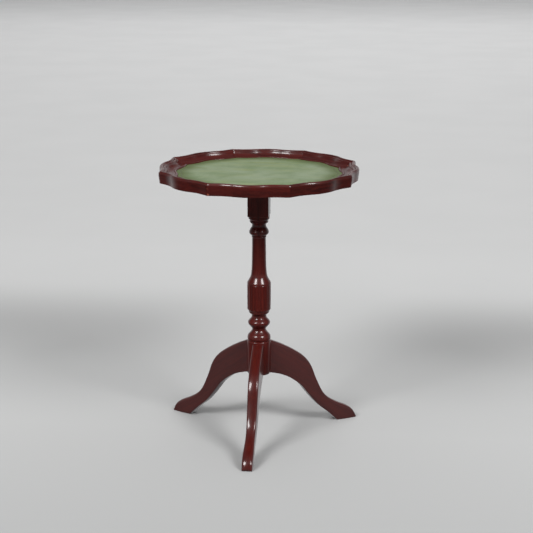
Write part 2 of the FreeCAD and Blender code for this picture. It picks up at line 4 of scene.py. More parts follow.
import bmesh
import bpy
from mathutils import Matrix, Vector


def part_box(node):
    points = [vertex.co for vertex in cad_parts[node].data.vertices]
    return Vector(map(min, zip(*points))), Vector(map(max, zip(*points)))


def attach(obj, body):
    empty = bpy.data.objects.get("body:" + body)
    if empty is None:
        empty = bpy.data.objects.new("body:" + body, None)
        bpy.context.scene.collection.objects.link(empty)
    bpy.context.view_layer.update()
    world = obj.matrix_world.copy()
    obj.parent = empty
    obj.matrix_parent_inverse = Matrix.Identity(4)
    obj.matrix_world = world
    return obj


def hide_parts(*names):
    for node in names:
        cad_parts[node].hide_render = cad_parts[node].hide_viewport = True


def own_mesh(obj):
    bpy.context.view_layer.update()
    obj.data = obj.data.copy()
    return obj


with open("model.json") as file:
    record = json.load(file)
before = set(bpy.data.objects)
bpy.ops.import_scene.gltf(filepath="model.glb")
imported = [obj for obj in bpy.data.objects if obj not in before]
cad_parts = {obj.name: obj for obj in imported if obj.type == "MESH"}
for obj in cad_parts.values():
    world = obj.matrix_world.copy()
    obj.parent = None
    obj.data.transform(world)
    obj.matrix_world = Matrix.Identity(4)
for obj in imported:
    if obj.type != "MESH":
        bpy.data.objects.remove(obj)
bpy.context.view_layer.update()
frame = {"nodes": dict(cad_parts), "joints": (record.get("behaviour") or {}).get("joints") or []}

# ---- Studio ----
# A pale floor, two square softboxes in front of the table to its left and right, and a
# wide silk overhead that doesn't show in the lacquer. The floor's colour holds painted light
# and shade: dark near the table, pale far off, and two painted shadow bands behind it to the
# sides. The camera stands a little to the right and looks slightly down.

CAMERA_TURN = math.radians(6.2)
CAMERA_DISTANCE = 2.511
CAMERA_HEIGHT = 0.970
CAMERA_DIP = 0.255
CAMERA_LENS = 97.0
CAMERA_SHIFT = 0.014
SOFTBOX_RISE = 39
SOFTBOX_AWAY = 4.4
SOFTBOX_SIDE = 1.45
FLOOR_RADIUS = 14.0

camera_data = bpy.data.cameras.new("camera")
camera_data.lens = CAMERA_LENS
camera_data.sensor_width = 36.0
camera_data.shift_x = CAMERA_SHIFT
camera = bpy.data.objects.new("camera", camera_data)
camera.location = (CAMERA_DISTANCE * math.sin(CAMERA_TURN),
                   -CAMERA_DISTANCE * math.cos(CAMERA_TURN), CAMERA_HEIGHT)
camera.rotation_euler = (math.pi / 2 - CAMERA_DIP, 0, CAMERA_TURN)
bpy.context.collection.objects.link(camera)
bpy.context.scene.camera = camera


def softbox(name, turn, rise, distance, width, height, watts):
    """An area light aimed at the column from this many degrees round and up."""
    lamp = bpy.data.lights.new(name, "AREA")
    lamp.shape = "RECTANGLE"
    lamp.size, lamp.size_y = width, height
    lamp.energy = watts
    lit = bpy.data.objects.new(name, lamp)
    turn, up = math.radians(turn), math.radians(rise)
    away = Vector((math.sin(turn) * math.cos(up), -math.cos(turn) * math.cos(up), math.sin(up)))
    lit.location = Vector((0, 0, 0.3)) + away * distance
    lit.rotation_euler = away.to_track_quat("Z", "Y").to_euler()
    bpy.context.collection.objects.link(lit)
    return lit


softbox("softbox_left", -36, SOFTBOX_RISE, SOFTBOX_AWAY, SOFTBOX_SIDE, SOFTBOX_SIDE, 180)
softbox("softbox_right", 48, SOFTBOX_RISE, SOFTBOX_AWAY, SOFTBOX_SIDE, SOFTBOX_SIDE, 168)
overhead = softbox("overhead_silk", 180, 52, 6.2, 9.0, 13.0, 400)
overhead.rotation_euler = (0, 0, 0)
overhead.visible_glossy = False


def as_mesh(name, work):
    """Ends the work on a shape and returns it as a mesh."""
    mesh = bpy.data.meshes.new(name)
    work.to_mesh(mesh)
    work.free()
    return mesh


shape = bmesh.new()
bmesh.ops.create_circle(shape, cap_ends=True, segments=96, radius=FLOOR_RADIUS)
floor_mesh = as_mesh("floor", shape)
floor = bpy.data.objects.new("floor", floor_mesh)
floor.visible_glossy = False
bpy.context.collection.objects.link(floor)


def add(tree, kind, feeds=None, **settings):
    """Adds a node, sets its settings, and feeds its sockets with values or other outputs."""
    node = tree.nodes.new(kind)
    for name, value in settings.items():
        setattr(node, name, value)
    for socket, value in (feeds or {}).items():
        if isinstance(value, bpy.types.NodeSocket):
            tree.links.new(value, node.inputs[socket])
        else:
            node.inputs[socket].default_value = value
    return node


def maths(tree, work, *terms):
    """One maths node; its terms are numbers or outputs."""
    return add(tree, "ShaderNodeMath", dict(enumerate(terms)), operation=work).outputs[0]


def times(tree, first, second):
    """The product of two numbers or outputs."""
    return maths(tree, "MULTIPLY", first, second)


def plus(tree, first, second):
    """Their sum."""
    return maths(tree, "ADD", first, second)


def less(tree, first, second):
    """The first less the second."""
    return maths(tree, "SUBTRACT", first, second)


def parts_of(tree, vector):
    """The three outputs of a vector: X, Y and Z."""
    return add(tree, "ShaderNodeSeparateXYZ", {0: vector}).outputs


def spread(tree, value, low, high, to_low=0.0, to_high=1.0, kind="SMOOTHSTEP"):
    """Maps a value's low..high to another range, held at its ends."""
    return add(tree, "ShaderNodeMapRange", {
        "Value": value, "From Min": low, "From Max": high, "To Min": to_low,
        "To Max": to_high}, interpolation_type=kind).outputs[0]


def blend_colours(tree, share, first, second):
    """Mixes two colours by a share."""
    return add(tree, "ShaderNodeMix", {0: share, 6: first, 7: second},
               data_type="RGBA").outputs[2]


def tinted(tree, colour, *coats):
    """Lays tints over a colour; each coat is where it lies, how strong it is, and its tint."""
    for where, strength, tint in coats:
        colour = blend_colours(tree, times(tree, where, strength), colour, tint)
    return colour


def noise(tree, place, scale, detail=2.0, twist=0.0):
    """Cloudy noise, from 0 to 1."""
    return add(tree, "ShaderNodeTexNoise", {
        "Vector": place, "Scale": scale, "Detail": detail, "Distortion": twist}).outputs["Fac"]


def streaks(tree, place, scale, detail=2.0, twist=0.0):
    """Noise drawn out along an axis: its scale is given for each axis."""
    drawn = add(tree, "ShaderNodeMapping", {0: place, "Scale": scale}).outputs[0]
    return noise(tree, drawn, 1.0, detail, twist)


def new_finish(name):
    """An empty material: its tree, its Principled shader and its output are returned."""
    finish = bpy.data.materials.new(name)
    finish.use_nodes = True
    return finish, finish.node_tree, finish.node_tree.nodes["Principled BSDF"]


world = bpy.data.worlds.new("studio air")
world.use_nodes = True
tree = world.node_tree
way = parts_of(tree, add(tree, "ShaderNodeTexCoord").outputs["Generated"])
wall = times(tree, spread(tree, way[2], 0.46, 0.20), spread(tree, way[1], 0.15, 0.75))
wall = times(tree, wall, spread(tree, way[2], -0.75, -0.30, 0.3, 1.0))
top = spread(tree, way[2], 0.3, 0.9, 0.05, 0.22)
glow = plus(tree, times(tree, wall, 0.55), top)
glow = plus(tree, glow, spread(tree, way[2], -0.35, -0.9, 0.0, 0.2))
sky = times(tree, spread(tree, way[2], -0.08, 0.0), spread(tree, way[2], 0.45, 0.15))
glow = plus(tree, glow, times(tree, sky, spread(tree, way[1], 0.6, 0.1, 0.0, 0.3)))
tree.links.new(glow, tree.nodes["Background"].inputs["Strength"])
tree.nodes["Background"].inputs["Color"].default_value = (0.98, 0.99, 1.0, 1)
bpy.context.scene.world = world
bpy.context.scene.view_settings.view_transform = "Standard"

paper, tree, shader = new_finish("studio paper")
place = add(tree, "ShaderNodeTexCoord").outputs["Object"]
mottle = noise(tree, place, 3.0, 3.0)
across, behind = parts_of(tree, place)[:2]
# Painted light and shade: the paper's colour is dark near the table and pale far off, in front and
# behind, standing in for how brightly the lamps light the floor.
tone = blend_colours(tree, spread(tree, behind, -0.55, 0.0, kind="LINEAR"),
                     (0.265, 0.267, 0.266, 1), (0.334, 0.335, 0.334, 1))
tone = blend_colours(tree, spread(tree, behind, 0.2, 1.5), tone, (0.455, 0.456, 0.455, 1))
tone = blend_colours(tree, spread(tree, behind, 1.5, 8.5, kind="LINEAR"), tone,
                     (0.93, 0.93, 0.93, 1))
tone = blend_colours(tree, spread(tree, behind, -0.5, -3.5), tone, (0.85, 0.85, 0.85, 1))
# Painted shadow: two dark bands left and right behind the table, where the top's shadows fall.
band = maths(tree, "ABSOLUTE", less(tree, behind, 0.66))
sides = times(tree, spread(tree, maths(tree, "ABSOLUTE", across), 0.05, 0.38, 0.02, 0.24),
              spread(tree, band, 0.36, 0.0))
tone = blend_colours(tree, sides, tone, (0.05, 0.05, 0.05, 1))
tone = blend_colours(tree, spread(tree, mottle, 0.3, 0.7, 0.0, 0.05), tone,
                     (0.30, 0.31, 0.31, 1))
tree.links.new(tone, shader.inputs["Base Color"])
shader.inputs["Roughness"].default_value = 0.75
shader.inputs["Specular IOR Level"].default_value = 0.15
floor_mesh.materials.append(paper)

# ---- Column ----
# The post is one length of mahogany: a square head, a turned stem with two beads and a reeded
# drum, and a round hub. It is stained dark red-brown and finished with a glossy lacquer.

MM = 0.001
column_low, column_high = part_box("column")
HEAD_TOP = column_high.z
HUB_LOW = column_low.z
HALF_HEAD = 18.8 * MM
HEAD_LOW = HEAD_TOP - 67.8 * MM
PIVOT_RADIUS = 12.1 * MM
PIVOT = Vector(frame["joints"][0]["pos_m"])
HUB_RADIUS = 21.6 * MM
HUB_HIGH = 176.0 * MM
REEDS = 20
REEDS_LOW = HUB_HIGH + 61.0 * MM
REEDS_HIGH = HUB_HIGH + 107.0 * MM
REED_DEPTH = 0.95 * MM
LACQUER_WEIGHT = 0.58
LACQUER_ROUGHNESS = 0.13
LACQUER_IOR = 1.48


def curved(points, steps=9):
    """A smooth line through a few points, as a list of points."""
    if len(points) == 2:
        return list(points)
    ends = [points[0] * 2 - points[1]] + points + [points[-1] * 2 - points[-2]]
    line = []
    for a, b, c, d in zip(ends, ends[1:], ends[2:], ends[3:]):
        for k in range(steps):
            t = k / steps
            line.append(0.5 * (2 * b + (c - a) * t + (2 * a - 5 * b + 4 * c - d) * t * t
                               + (3 * b - a - 3 * c + d) * t ** 3))
    return line + [points[-1]]


def eased(line, radius, closed=False, sharpest=22.0):
    """Rounds each hard corner of a line by a small radius, as sanding and lacquer do."""
    count = len(line)
    out = []
    for k, point in enumerate(line):
        if not closed and k in (0, count - 1):
            out.append(point)
            continue
        before, after = line[k - 1] - point, line[(k + 1) % count] - point
        if before.length < 1e-7 or after.length < 1e-7:
            continue
        turn = math.degrees(math.pi - before.angle(after))
        if turn < sharpest:
            out.append(point)
            continue
        a = point + before.normalized() * min(radius, 0.45 * before.length)
        b = point + after.normalized() * min(radius, 0.45 * after.length)
        for t in (0.0, 0.3, 0.7, 1.0):
            out.append(a * (1 - t) ** 2 + point * (2 * t * (1 - t)) + b * t * t)
    return out


def line_object(name, line):
    """A string of points as a mesh object that a node tree can read."""
    mesh = bpy.data.meshes.new(name)
    mesh.from_pydata([tuple(p) for p in line], [(k, k + 1) for k in range(len(line) - 1)], [])
    return bpy.data.objects.new(name, mesh)


def new_tree(name, sockets):
    """A geometry tree with named inputs; each is (name, socket type)."""
    made = bpy.data.node_groups.new(name, "GeometryNodeTree")
    for label, kind in sockets:
        made.interface.new_socket(label, in_out="INPUT", socket_type=kind)
    made.interface.new_socket("Geometry", in_out="OUTPUT", socket_type="NodeSocketGeometry")
    return made, made.nodes.new("NodeGroupInput").outputs


def tree_output(made, geometry, finish):
    """Ends a tree: realise the copies, give them their finish, and hand them over."""
    real = add(made, "GeometryNodeRealizeInstances", {"Geometry": geometry})
    coated = add(made, "GeometryNodeSetMaterial", {
        "Geometry": real.outputs[0], "Material": finish})
    end = made.nodes.new("NodeGroupOutput")
    made.links.new(coated.outputs[0], end.inputs[0])


def run_tree(name, made, values, helpers=()):
    """Runs a tree once with its inputs set, and returns the plain mesh that it makes."""
    for helper in helpers:
        bpy.context.collection.objects.link(helper)
    holder = bpy.data.objects.new(name, bpy.data.meshes.new(name))
    bpy.context.collection.objects.link(holder)
    nodes = holder.modifiers.new("make", "NODES")
    nodes.node_group = made
    for item in made.interface.items_tree:
        if item.in_out == "INPUT" and item.name in values:
            nodes[item.identifier] = values[item.name]
    graph = bpy.context.evaluated_depsgraph_get()
    mesh = bpy.data.meshes.new_from_object(holder.evaluated_get(graph), depsgraph=graph)
    mesh.name = name
    bpy.data.objects.remove(holder)
    for helper in helpers:
        bpy.data.objects.remove(helper)
    return mesh


def tidy(mesh, crease=38.0, fill=True):
    """Welds a mesh, closes its ends, turns its faces outwards and shades it smooth."""
    work = bmesh.new()
    work.from_mesh(mesh)
    bmesh.ops.remove_doubles(work, verts=work.verts, dist=2e-6)
    if fill:
        bmesh.ops.holes_fill(work, edges=[e for e in work.edges if e.is_boundary], sides=0)
    bmesh.ops.recalc_face_normals(work, faces=work.faces)
    for face in work.faces:
        face.smooth = True
    work.to_mesh(mesh)
    work.free()
    mesh.set_sharp_from_angle(angle=math.radians(crease))
    return mesh


def stand(name, mesh, body, nodes=()):
    """Puts a finished mesh in the scene as a piece that rides on a body."""
    piece = bpy.data.objects.new(name, mesh)
    bpy.context.collection.objects.link(piece)
    if nodes:
        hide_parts(*nodes)
    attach(piece, body)
    return piece


def lay_grain(mesh, direction):
    """Writes where each point lies in its plank: along the grain first, then across it."""
    layer = mesh.attributes.new("grain", "FLOAT_VECTOR", "POINT")
    for vertex, item in zip(mesh.vertices, layer.data):
        item.vector = direction(vertex.co)


def shape_of(made, thing):
    """The mesh of an object that is fed to a tree."""
    return add(made, "GeometryNodeObjectInfo", {"Object": thing}).outputs["Geometry"]


def count_of(made, geometry):
    """How many points a mesh has."""
    return add(made, "GeometryNodeAttributeDomainSize", {"Geometry": geometry}).outputs[0]


def point_of(made, geometry, index):
    """Where one numbered point of a mesh lies."""
    place = add(made, "GeometryNodeInputPosition").outputs[0]
    return add(made, "GeometryNodeSampleIndex", {
        "Geometry": geometry, "Value": place, "Index": index},
        data_type="FLOAT_VECTOR").outputs[0]


def row_and_step(made, rows):
    """Which row of a grid a point belongs to, and which step along it."""
    number = add(made, "GeometryNodeInputIndex").outputs[0]
    step = maths(made, "FLOOR", maths(made, "DIVIDE", plus(made, number, 0.5), rows))
    return less(made, number, times(made, step, rows)), step


REED_END = 2.2 * MM
REED_ROUNDNESS = 0.97


def turning_tree():
    """Turns a half outline round the Z axis, with reeds between two heights."""
    made, given = new_tree("turning", [
        ("Outline", "NodeSocketObject"), ("Around", "NodeSocketInt"),
        ("Reeds", "NodeSocketFloat"), ("Reed depth", "NodeSocketFloat"),
        ("Reeds low", "NodeSocketFloat"), ("Reeds high", "NodeSocketFloat"),
        ("Finish", "NodeSocketMaterial")])
    outline = shape_of(made, given["Outline"])
    rows = count_of(made, outline)
    skin = add(made, "GeometryNodeMeshGrid", {
        "Vertices X": plus(made, given["Around"], 1), "Vertices Y": rows})
    row, ring = row_and_step(made, rows)
    radius, _, height = parts_of(made, point_of(made, outline, row))
    share = maths(made, "DIVIDE", ring, given["Around"])
    angle = times(made, share, 2 * math.pi)
    across = maths(made, "FRACT", times(made, share, given["Reeds"]))
    across = times(made, maths(made, "ABSOLUTE", less(made, across, 0.5)), 2)
    lobe = times(made, REED_ROUNDNESS, times(made, across, across))
    lobe = less(made, 1.0, maths(made, "SQRT", less(made, 1.0, lobe)))
    low, high = given["Reeds low"], given["Reeds high"]
    start = spread(made, height, low, plus(made, low, REED_END))
    stop = spread(made, height, less(made, high, REED_END), high, 1.0, 0.0)
    cut = times(made, times(made, start, stop), lobe)
    radius = less(made, radius, times(made, cut, given["Reed depth"]))
    spot = add(made, "ShaderNodeCombineXYZ", {
        0: times(made, radius, maths(made, "COSINE", angle)),
        1: times(made, radius, maths(made, "SINE", angle)), 2: height}).outputs[0]
    moved = add(made, "GeometryNodeSetPosition", {"Geometry": skin.outputs[0], "Position": spot})
    tree_output(made, moved.outputs[0], given["Finish"])
    return made


def mahogany(name, tone=1.0, wear=1.0, figure=0.8, side_sheen=0.0):
    """Dark stained mahogany under lacquer: ribbons, fibres, pores, rubbed edges, darker hollows.
    The side faces that flank marks get a painted sheen.
    """
    finish, tree, shader = new_finish(name)
    grain = add(tree, "ShaderNodeAttribute", attribute_name="grain").outputs["Vector"]

    ribbons = spread(tree, streaks(tree, grain, (3.0, 55.0, 55.0), 3.0, 0.8), 0.36, 0.66,
                     0.0, figure)
    lines = spread(tree, streaks(tree, grain, (6.0, 260.0, 260.0), 4.0, 0.3), 0.38, 0.64)
    fibres = spread(tree, streaks(tree, grain, (35.0, 1500.0, 1500.0)), 0.35, 0.68)
    pores = spread(tree, streaks(tree, grain, (90.0, 2600.0, 2600.0), 1.0), 0.60, 0.68)
    patches = spread(tree, streaks(tree, grain, (9.0, 9.0, 9.0)), 0.35, 0.65)
    chafing = spread(tree, streaks(tree, grain, (40.0, 60.0, 60.0), 3.0), 0.42, 0.60)
    dark = (0.017 * tone, 0.0020 * tone, 0.0016 * tone, 1)
    red = (0.056 * tone, 0.0048 * tone, 0.0036 * tone, 1)
    warm = (0.090 * tone, 0.0110 * tone, 0.0064 * tone, 1)
    bend = add(tree, "ShaderNodeNewGeometry").outputs["Pointiness"]
    rubbed = times(tree, spread(tree, bend, 0.56, 0.68), chafing)
    # Darker in the hollows, where pointiness is low.
    hollows_darkened = spread(tree, bend, 0.47, 0.38)
    # Painted sheen: side faces marked by flank are tinted grey-pink, standing in for the floor's
    # reflection.
    flank = add(tree, "ShaderNodeAttribute", attribute_name="flank").outputs["Fac"]
    colour = tinted(
        tree, blend_colours(tree, ribbons, red, dark), (lines, 0.45, warm), (fibres, 0.30, dark),
        (patches, 0.35, red), (pores, 0.75, (0.008, 0.002, 0.002, 1)),
        (rubbed, 0.55 * wear, (0.26, 0.075, 0.045, 1)), (hollows_darkened, 0.6, (0.006, 0.002, 0.002, 1)),
        (flank, side_sheen, (0.085, 0.052, 0.052, 1)))
    tree.links.new(colour, shader.inputs["Base Color"])
    rough = plus(tree, 0.30, times(tree, fibres, 0.12))
    tree.links.new(rough, shader.inputs["Roughness"])
    shader.inputs["Specular IOR Level"].default_value = 0.15
    shader.inputs["Coat Weight"].default_value = LACQUER_WEIGHT
    shader.inputs["Coat Roughness"].default_value = LACQUER_ROUGHNESS
    shader.inputs["Coat IOR"].default_value = LACQUER_IOR
    sunk = add(tree, "ShaderNodeBump", {
        "Strength": 0.35, "Distance": 0.00006,
        "Height": less(tree, times(tree, fibres, 0.4), pores)})
    tree.links.new(sunk.outputs[0], shader.inputs["Normal"])
    skin = add(tree, "ShaderNodeBump", {"Strength": 0.10, "Distance": 0.00010,
                                        "Height": noise(tree, grain, 170.0)})
    tree.links.new(skin.outputs[0], shader.inputs["Coat Normal"])
    return finish


def column_outline():
    """Half outline of the turned stem, from the hub's middle up to the square head."""
    neck, reed, hub = 12.3, 21.5, HUB_RADIUS / MM
    top = HEAD_LOW / MM
    foot = HUB_HIGH / MM
    low = HUB_LOW / MM
    shaft_top = top - 40.5
    reed_low = foot + 61.0
    reed_top = foot + 109.9
    shaft = shaft_top - reed_top
    stretches = [
        [(0, low), (hub - 4.5, low)],
        [(hub - 4.5, low), (hub - 2.6, low + 0.45), (hub - 1.1, low + 1.5), (hub, low + 4.5)],
        [(hub, low + 4.5), (hub, foot - 0.6)],
        [(hub, foot - 0.6), (hub - 0.45, foot + 0.7), (hub - 1.6, foot + 1.6)],
        [(hub - 1.6, foot + 1.6), (hub - 1.4, foot + 3.1)],
        [(hub - 1.4, foot + 3.1), (hub - 0.4, foot + 4.2)],
        [(hub - 0.4, foot + 4.2), (hub - 0.3, foot + 6.2)],
        [(hub - 0.3, foot + 6.2), (hub - 1.0, foot + 9.8), (hub - 2.5, foot + 12.8),
         (neck + 3.7, foot + 16.2), (neck + 0.8, foot + 20.2), (neck + 0.3, foot + 22.8)],
        [(neck + 0.3, foot + 22.8), (neck + 1.2, foot + 25.4), (neck + 3.8, foot + 28.5),
         (neck + 6.5, foot + 31.7), (neck + 7.8, foot + 34.8), (neck + 7.0, foot + 38.0),
         (neck + 4.5, foot + 41.0), (neck + 1.9, foot + 44.2), (neck + 0.9, foot + 47.4)],
        [(neck + 0.9, foot + 47.4), (neck + 2.1, foot + 50.8), (reed - 3.4, reed_low - 7.2)],
        [(reed - 3.4, reed_low - 7.2), (reed - 2.6, reed_low - 4.6)],
        [(reed - 2.6, reed_low - 4.6), (reed - 2.0, reed_low - 2.6), (reed - 0.3, reed_low - 0.4)],
        [(reed - 0.3, reed_low - 0.4), (reed - 0.1, reed_low + 11), (reed - 0.05, reed_low + 29),
         (reed, reed_top - 2.9)],
        [(reed, reed_top - 2.9), (reed - 0.8, reed_top - 2.2)],
        [(reed - 0.8, reed_top - 2.2), (reed, reed_top - 1.6)],
        [(reed, reed_top - 1.6), (reed - 0.1, reed_top)],
        [(reed - 0.1, reed_top), (reed - 0.8, reed_top + 1.8), (reed - 2.6, reed_top + 5.0),
         (neck + 3.8, reed_top + 10.2), (neck + 2.5, reed_top + 14.0),
         (neck + 1.8, reed_top + 18.5), (neck + 1.25, reed_top + 24.5),
         (neck + 0.9, reed_top + 31.0), (neck + 0.65, reed_top + 38.0),
         (neck + 0.5, reed_top + 49.0), (neck + 0.3, reed_top + 0.74 * shaft),
         (neck, shaft_top)],
        [(neck, shaft_top), (neck + 1.0, top - 38.5), (neck + 0.1, top - 37.1)],
        [(neck + 0.1, top - 37.1), (neck + 4.2, top - 33.6), (neck + 5.4, top - 29.5),
         (neck + 3.3, top - 24.4), (neck + 0.9, top - 20.7), (neck, top - 17.3)],
        [(neck, top - 17.3), (neck + 1.4, top - 14.9), (neck + 4.3, top - 12.0)],
        [(neck + 4.3, top - 12.0), (neck + 4.4, top - 7.5)],
        [(neck + 4.4, top - 7.5), (neck + 6.6, top - 5.7)],
        [(neck + 6.6, top - 5.7), (neck + 6.6, top + 1.0)],
        [(neck + 6.6, top + 1.0), (0, top + 1.0)]]
    line = []
    for stretch in stretches:
        points = curved([Vector((r * MM, 0, z * MM)) for r, z in stretch])
        line += points if not line else points[1:]
    return eased(line, 0.45 * MM)


def square_head():
    """The square head: eased edges, and the front top edge rounded about the pivot."""
    side = [Vector((0, HALF_HEAD, HEAD_LOW)), Vector((0, HALF_HEAD, HEAD_TOP))]
    steps = 18
    for k in range(steps + 1):
        turn = math.pi / 2 * k / steps
        side.append(Vector((0, PIVOT.y - PIVOT_RADIUS * math.sin(turn),
                            PIVOT.z + PIVOT_RADIUS * math.cos(turn))))
    side.append(Vector((0, -HALF_HEAD, HEAD_LOW)))
    work = bmesh.new()
    face = work.faces.new([work.verts.new(p + Vector((-HALF_HEAD, 0, 0))) for p in side])
    pushed = bmesh.ops.extrude_face_region(work, geom=[face])
    bmesh.ops.translate(work, vec=(2 * HALF_HEAD, 0, 0),
                        verts=[v for v in pushed["geom"] if isinstance(v, bmesh.types.BMVert)])
    bmesh.ops.recalc_face_normals(work, faces=work.faces)
    hard = [e for e in work.edges if e.calc_face_angle(0) > math.radians(40)]
    bmesh.ops.bevel(work, geom=hard, offset=0.8 * MM, segments=3, profile=0.6,
                    affect="EDGES", clamp_overlap=True)
    return as_mesh("head", work)


def cutters(boxes, rods):
    """Cutting blocks and round rods; a rod is (start, end, radius)."""
    tools = []
    for low, high in boxes:
        work = bmesh.new()
        matrix = Matrix.LocRotScale((low + high) / 2, None, high - low)
        bmesh.ops.create_cube(work, size=1.0, matrix=matrix)
        tools.append(work)
    for start, end, radius in rods:
        work = bmesh.new()
        run = end - start
        turn = run.to_track_quat("Z", "Y").to_matrix().to_4x4()
        place = Matrix.Translation((start + end) / 2) @ turn
        bmesh.ops.create_cone(work, cap_ends=True, segments=40, radius1=radius, radius2=radius,
                              depth=run.length, matrix=place)
        tools.append(work)
    return [as_mesh("cutter", work) for work in tools]


def carve(mesh, cutter_meshes):
    """Cuts each of the cutters out of a mesh and returns the result."""
    things = [bpy.data.objects.new("carved", m) for m in [mesh] + cutter_meshes]
    for thing in things:
        bpy.context.collection.objects.link(thing)
    for thing in things[1:]:
        cut = things[0].modifiers.new("cut", "BOOLEAN")
        cut.object, cut.operation, cut.solver = thing, "DIFFERENCE", "EXACT"
    graph = bpy.context.evaluated_depsgraph_get()
    result = bpy.data.meshes.new_from_object(things[0].evaluated_get(graph), depsgraph=graph)
    for thing in things:
        bpy.data.objects.remove(thing)
    return result


def joined(name, meshes):
    """Several meshes as one."""
    work = bmesh.new()
    for mesh in meshes:
        work.from_mesh(mesh)
    return as_mesh(name, work)


striker_low, striker_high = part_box("striker")
PIN_RADIUS = 3.0 * MM
LET_IN = 1.2 * MM
mortise_low = Vector((-5.8 * MM, striker_low.y + 1.0 * MM, 473.3 * MM))
mortise_high = Vector((5.8 * MM, HALF_HEAD + MM, striker_high.z - LET_IN))
head_holes = cutters(
    [(Vector((striker_low.x, HALF_HEAD - LET_IN, striker_low.z)),
      Vector((striker_high.x, HALF_HEAD + MM, HEAD_TOP + MM))),
     (Vector((striker_low.x, striker_low.y, striker_high.z - LET_IN)),
      Vector((striker_high.x, HALF_HEAD + MM, HEAD_TOP + MM))),
     (Vector((mortise_low.x, 15.5 * MM, mortise_low.z)), mortise_high)],
    [(Vector((side * 5.6 * MM, PIVOT.y, PIVOT.z)), Vector((side * 22 * MM, PIVOT.y, PIVOT.z)),
      PIN_RADIUS + 0.05 * MM) for side in (-1, 1)])
lacquered = mahogany("lacquered mahogany")
turning = turning_tree()
outline_object = line_object("column outline", column_outline())
stem = run_tree("stem", turning, {
    "Outline": outline_object, "Around": 240, "Reeds": float(REEDS), "Reed depth": REED_DEPTH,
    "Reeds low": REEDS_LOW, "Reeds high": REEDS_HIGH, "Finish": lacquered}, [outline_object])
column = joined("column", [tidy(stem, fill=False), carve(square_head(), head_holes)])
column.materials.append(lacquered)
for face in column.polygons:
    face.material_index = 0
    face.use_smooth = True
column.set_sharp_from_angle(angle=math.radians(38))
lay_grain(column, lambda p: Vector((p.z, p.x, p.y)))
stand("column_turned", column, "base", ["column"])

# ---- Legs ----
# Three S-curved legs, band-sawn from planks about 20 mm thick. The back is rounded over by
# hand, the ankle is thinned, and the foot swells again to a flat sole. Same lacquer, with a
# painted sheen on the side faces.

FOOT_REACH = 199.0 * MM
LEG_HALF = 10.0 * MM
ANKLE_HALF = 8.4 * MM
BACK_ROUNDING = 3.0 * MM
BELLY_ROUNDING = 1.3 * MM
BACK_CROWN = 2.0 * MM
LEG_TURNS = {"leg_front": -90, "leg_right": 30, "leg_left": 150}


def leg_line(points, height):
    """Points of the side view, given as shares of the reach and of a height."""
    reach = FOOT_REACH - HUB_RADIUS
    return [Vector((HUB_RADIUS + r * reach, 0, h * height)) for r, h in points]


def evenly(line, count):
    """The same line, as evenly spaced points."""
    lengths = [0.0]
    for a, b in zip(line, line[1:]):
        lengths.append(lengths[-1] + (b - a).length)
    out = []
    k = 0
    for n in range(count):
        want = lengths[-1] * n / (count - 1)
        while k < len(line) - 2 and lengths[k + 1] < want:
            k += 1
        step = max(lengths[k + 1] - lengths[k], 1e-9)
        out.append(line[k].lerp(line[k + 1], min(1.0, (want - lengths[k]) / step)))
    return out


def leg_half_width(reach):
    """Half the thickness, seen from above: full at the hub and foot, thin at the ankle."""
    share = (reach - HUB_RADIUS) / (FOOT_REACH - HUB_RADIUS)
    stops = [(-0.2, LEG_HALF), (0.15, LEG_HALF * 0.985), (0.42, LEG_HALF * 0.94),
             (0.66, ANKLE_HALF), (0.88, LEG_HALF * 0.99), (0.96, LEG_HALF * 0.95),
             (1.02, LEG_HALF * 0.86)]
    for (a, wa), (b, wb) in zip(stops, stops[1:]):
        if share <= b:
            t = min(1.0, max(0.0, (share - a) / (b - a)))
            return wa + (wb - wa) * t * t * (3 - 2 * t)
    return stops[-1][1]


def leg_section(low, high, depth_steps=5, round_steps=7):
    """One closed section across the leg between a point of the belly and one of the back."""
    rise = high - low
    up = rise.normalized()
    tall = rise.length
    half = leg_half_width((low.x + high.x) / 2)
    over = min(BACK_ROUNDING, 0.48 * tall, 0.84 * half)
    under = min(BELLY_ROUNDING, 0.2 * tall)
    right = []
    for k in range(4):
        turn = math.pi / 2 * k / 3
        right.append((half - under + under * math.sin(turn), under * (1 - math.cos(turn))))
    for k in range(1, depth_steps):
        right.append((half, under + (tall - under - over) * k / depth_steps))
    for k in range(round_steps):
        turn = math.pi / 2 * k / (round_steps - 1)
        right.append((half - over * (1 - math.cos(turn)), tall - over * (1 - math.sin(turn))))
    flat = half - over
    right += [(flat * s, tall) for s in (0.66, 0.33, 0.0)]
    crown = BACK_CROWN * min(1.0, tall / (10 * MM))
    loop = right + [(-w, h) for w, h in reversed(right[:-1])]
    section = []
    for w, h in loop:
        sag = crown * (1 - max(0.0, 1 - (w / half) ** 2)) if h > 0.6 * tall else 0.0
        point = low + up * max(0.0, h - sag)
        width = w * leg_half_width(point.x) / half
        section.append(Vector((point.x, width, max(0.0, point.z))))
    return section


def bridge(work, loops):
    """Joins closed loops of points with faces, each to the next."""
    for one, two in zip(loops, loops[1:]):
        for k in range(len(one)):
            j = (k + 1) % len(one)
            work.faces.new((one[k], one[j], two[j], two[k]))


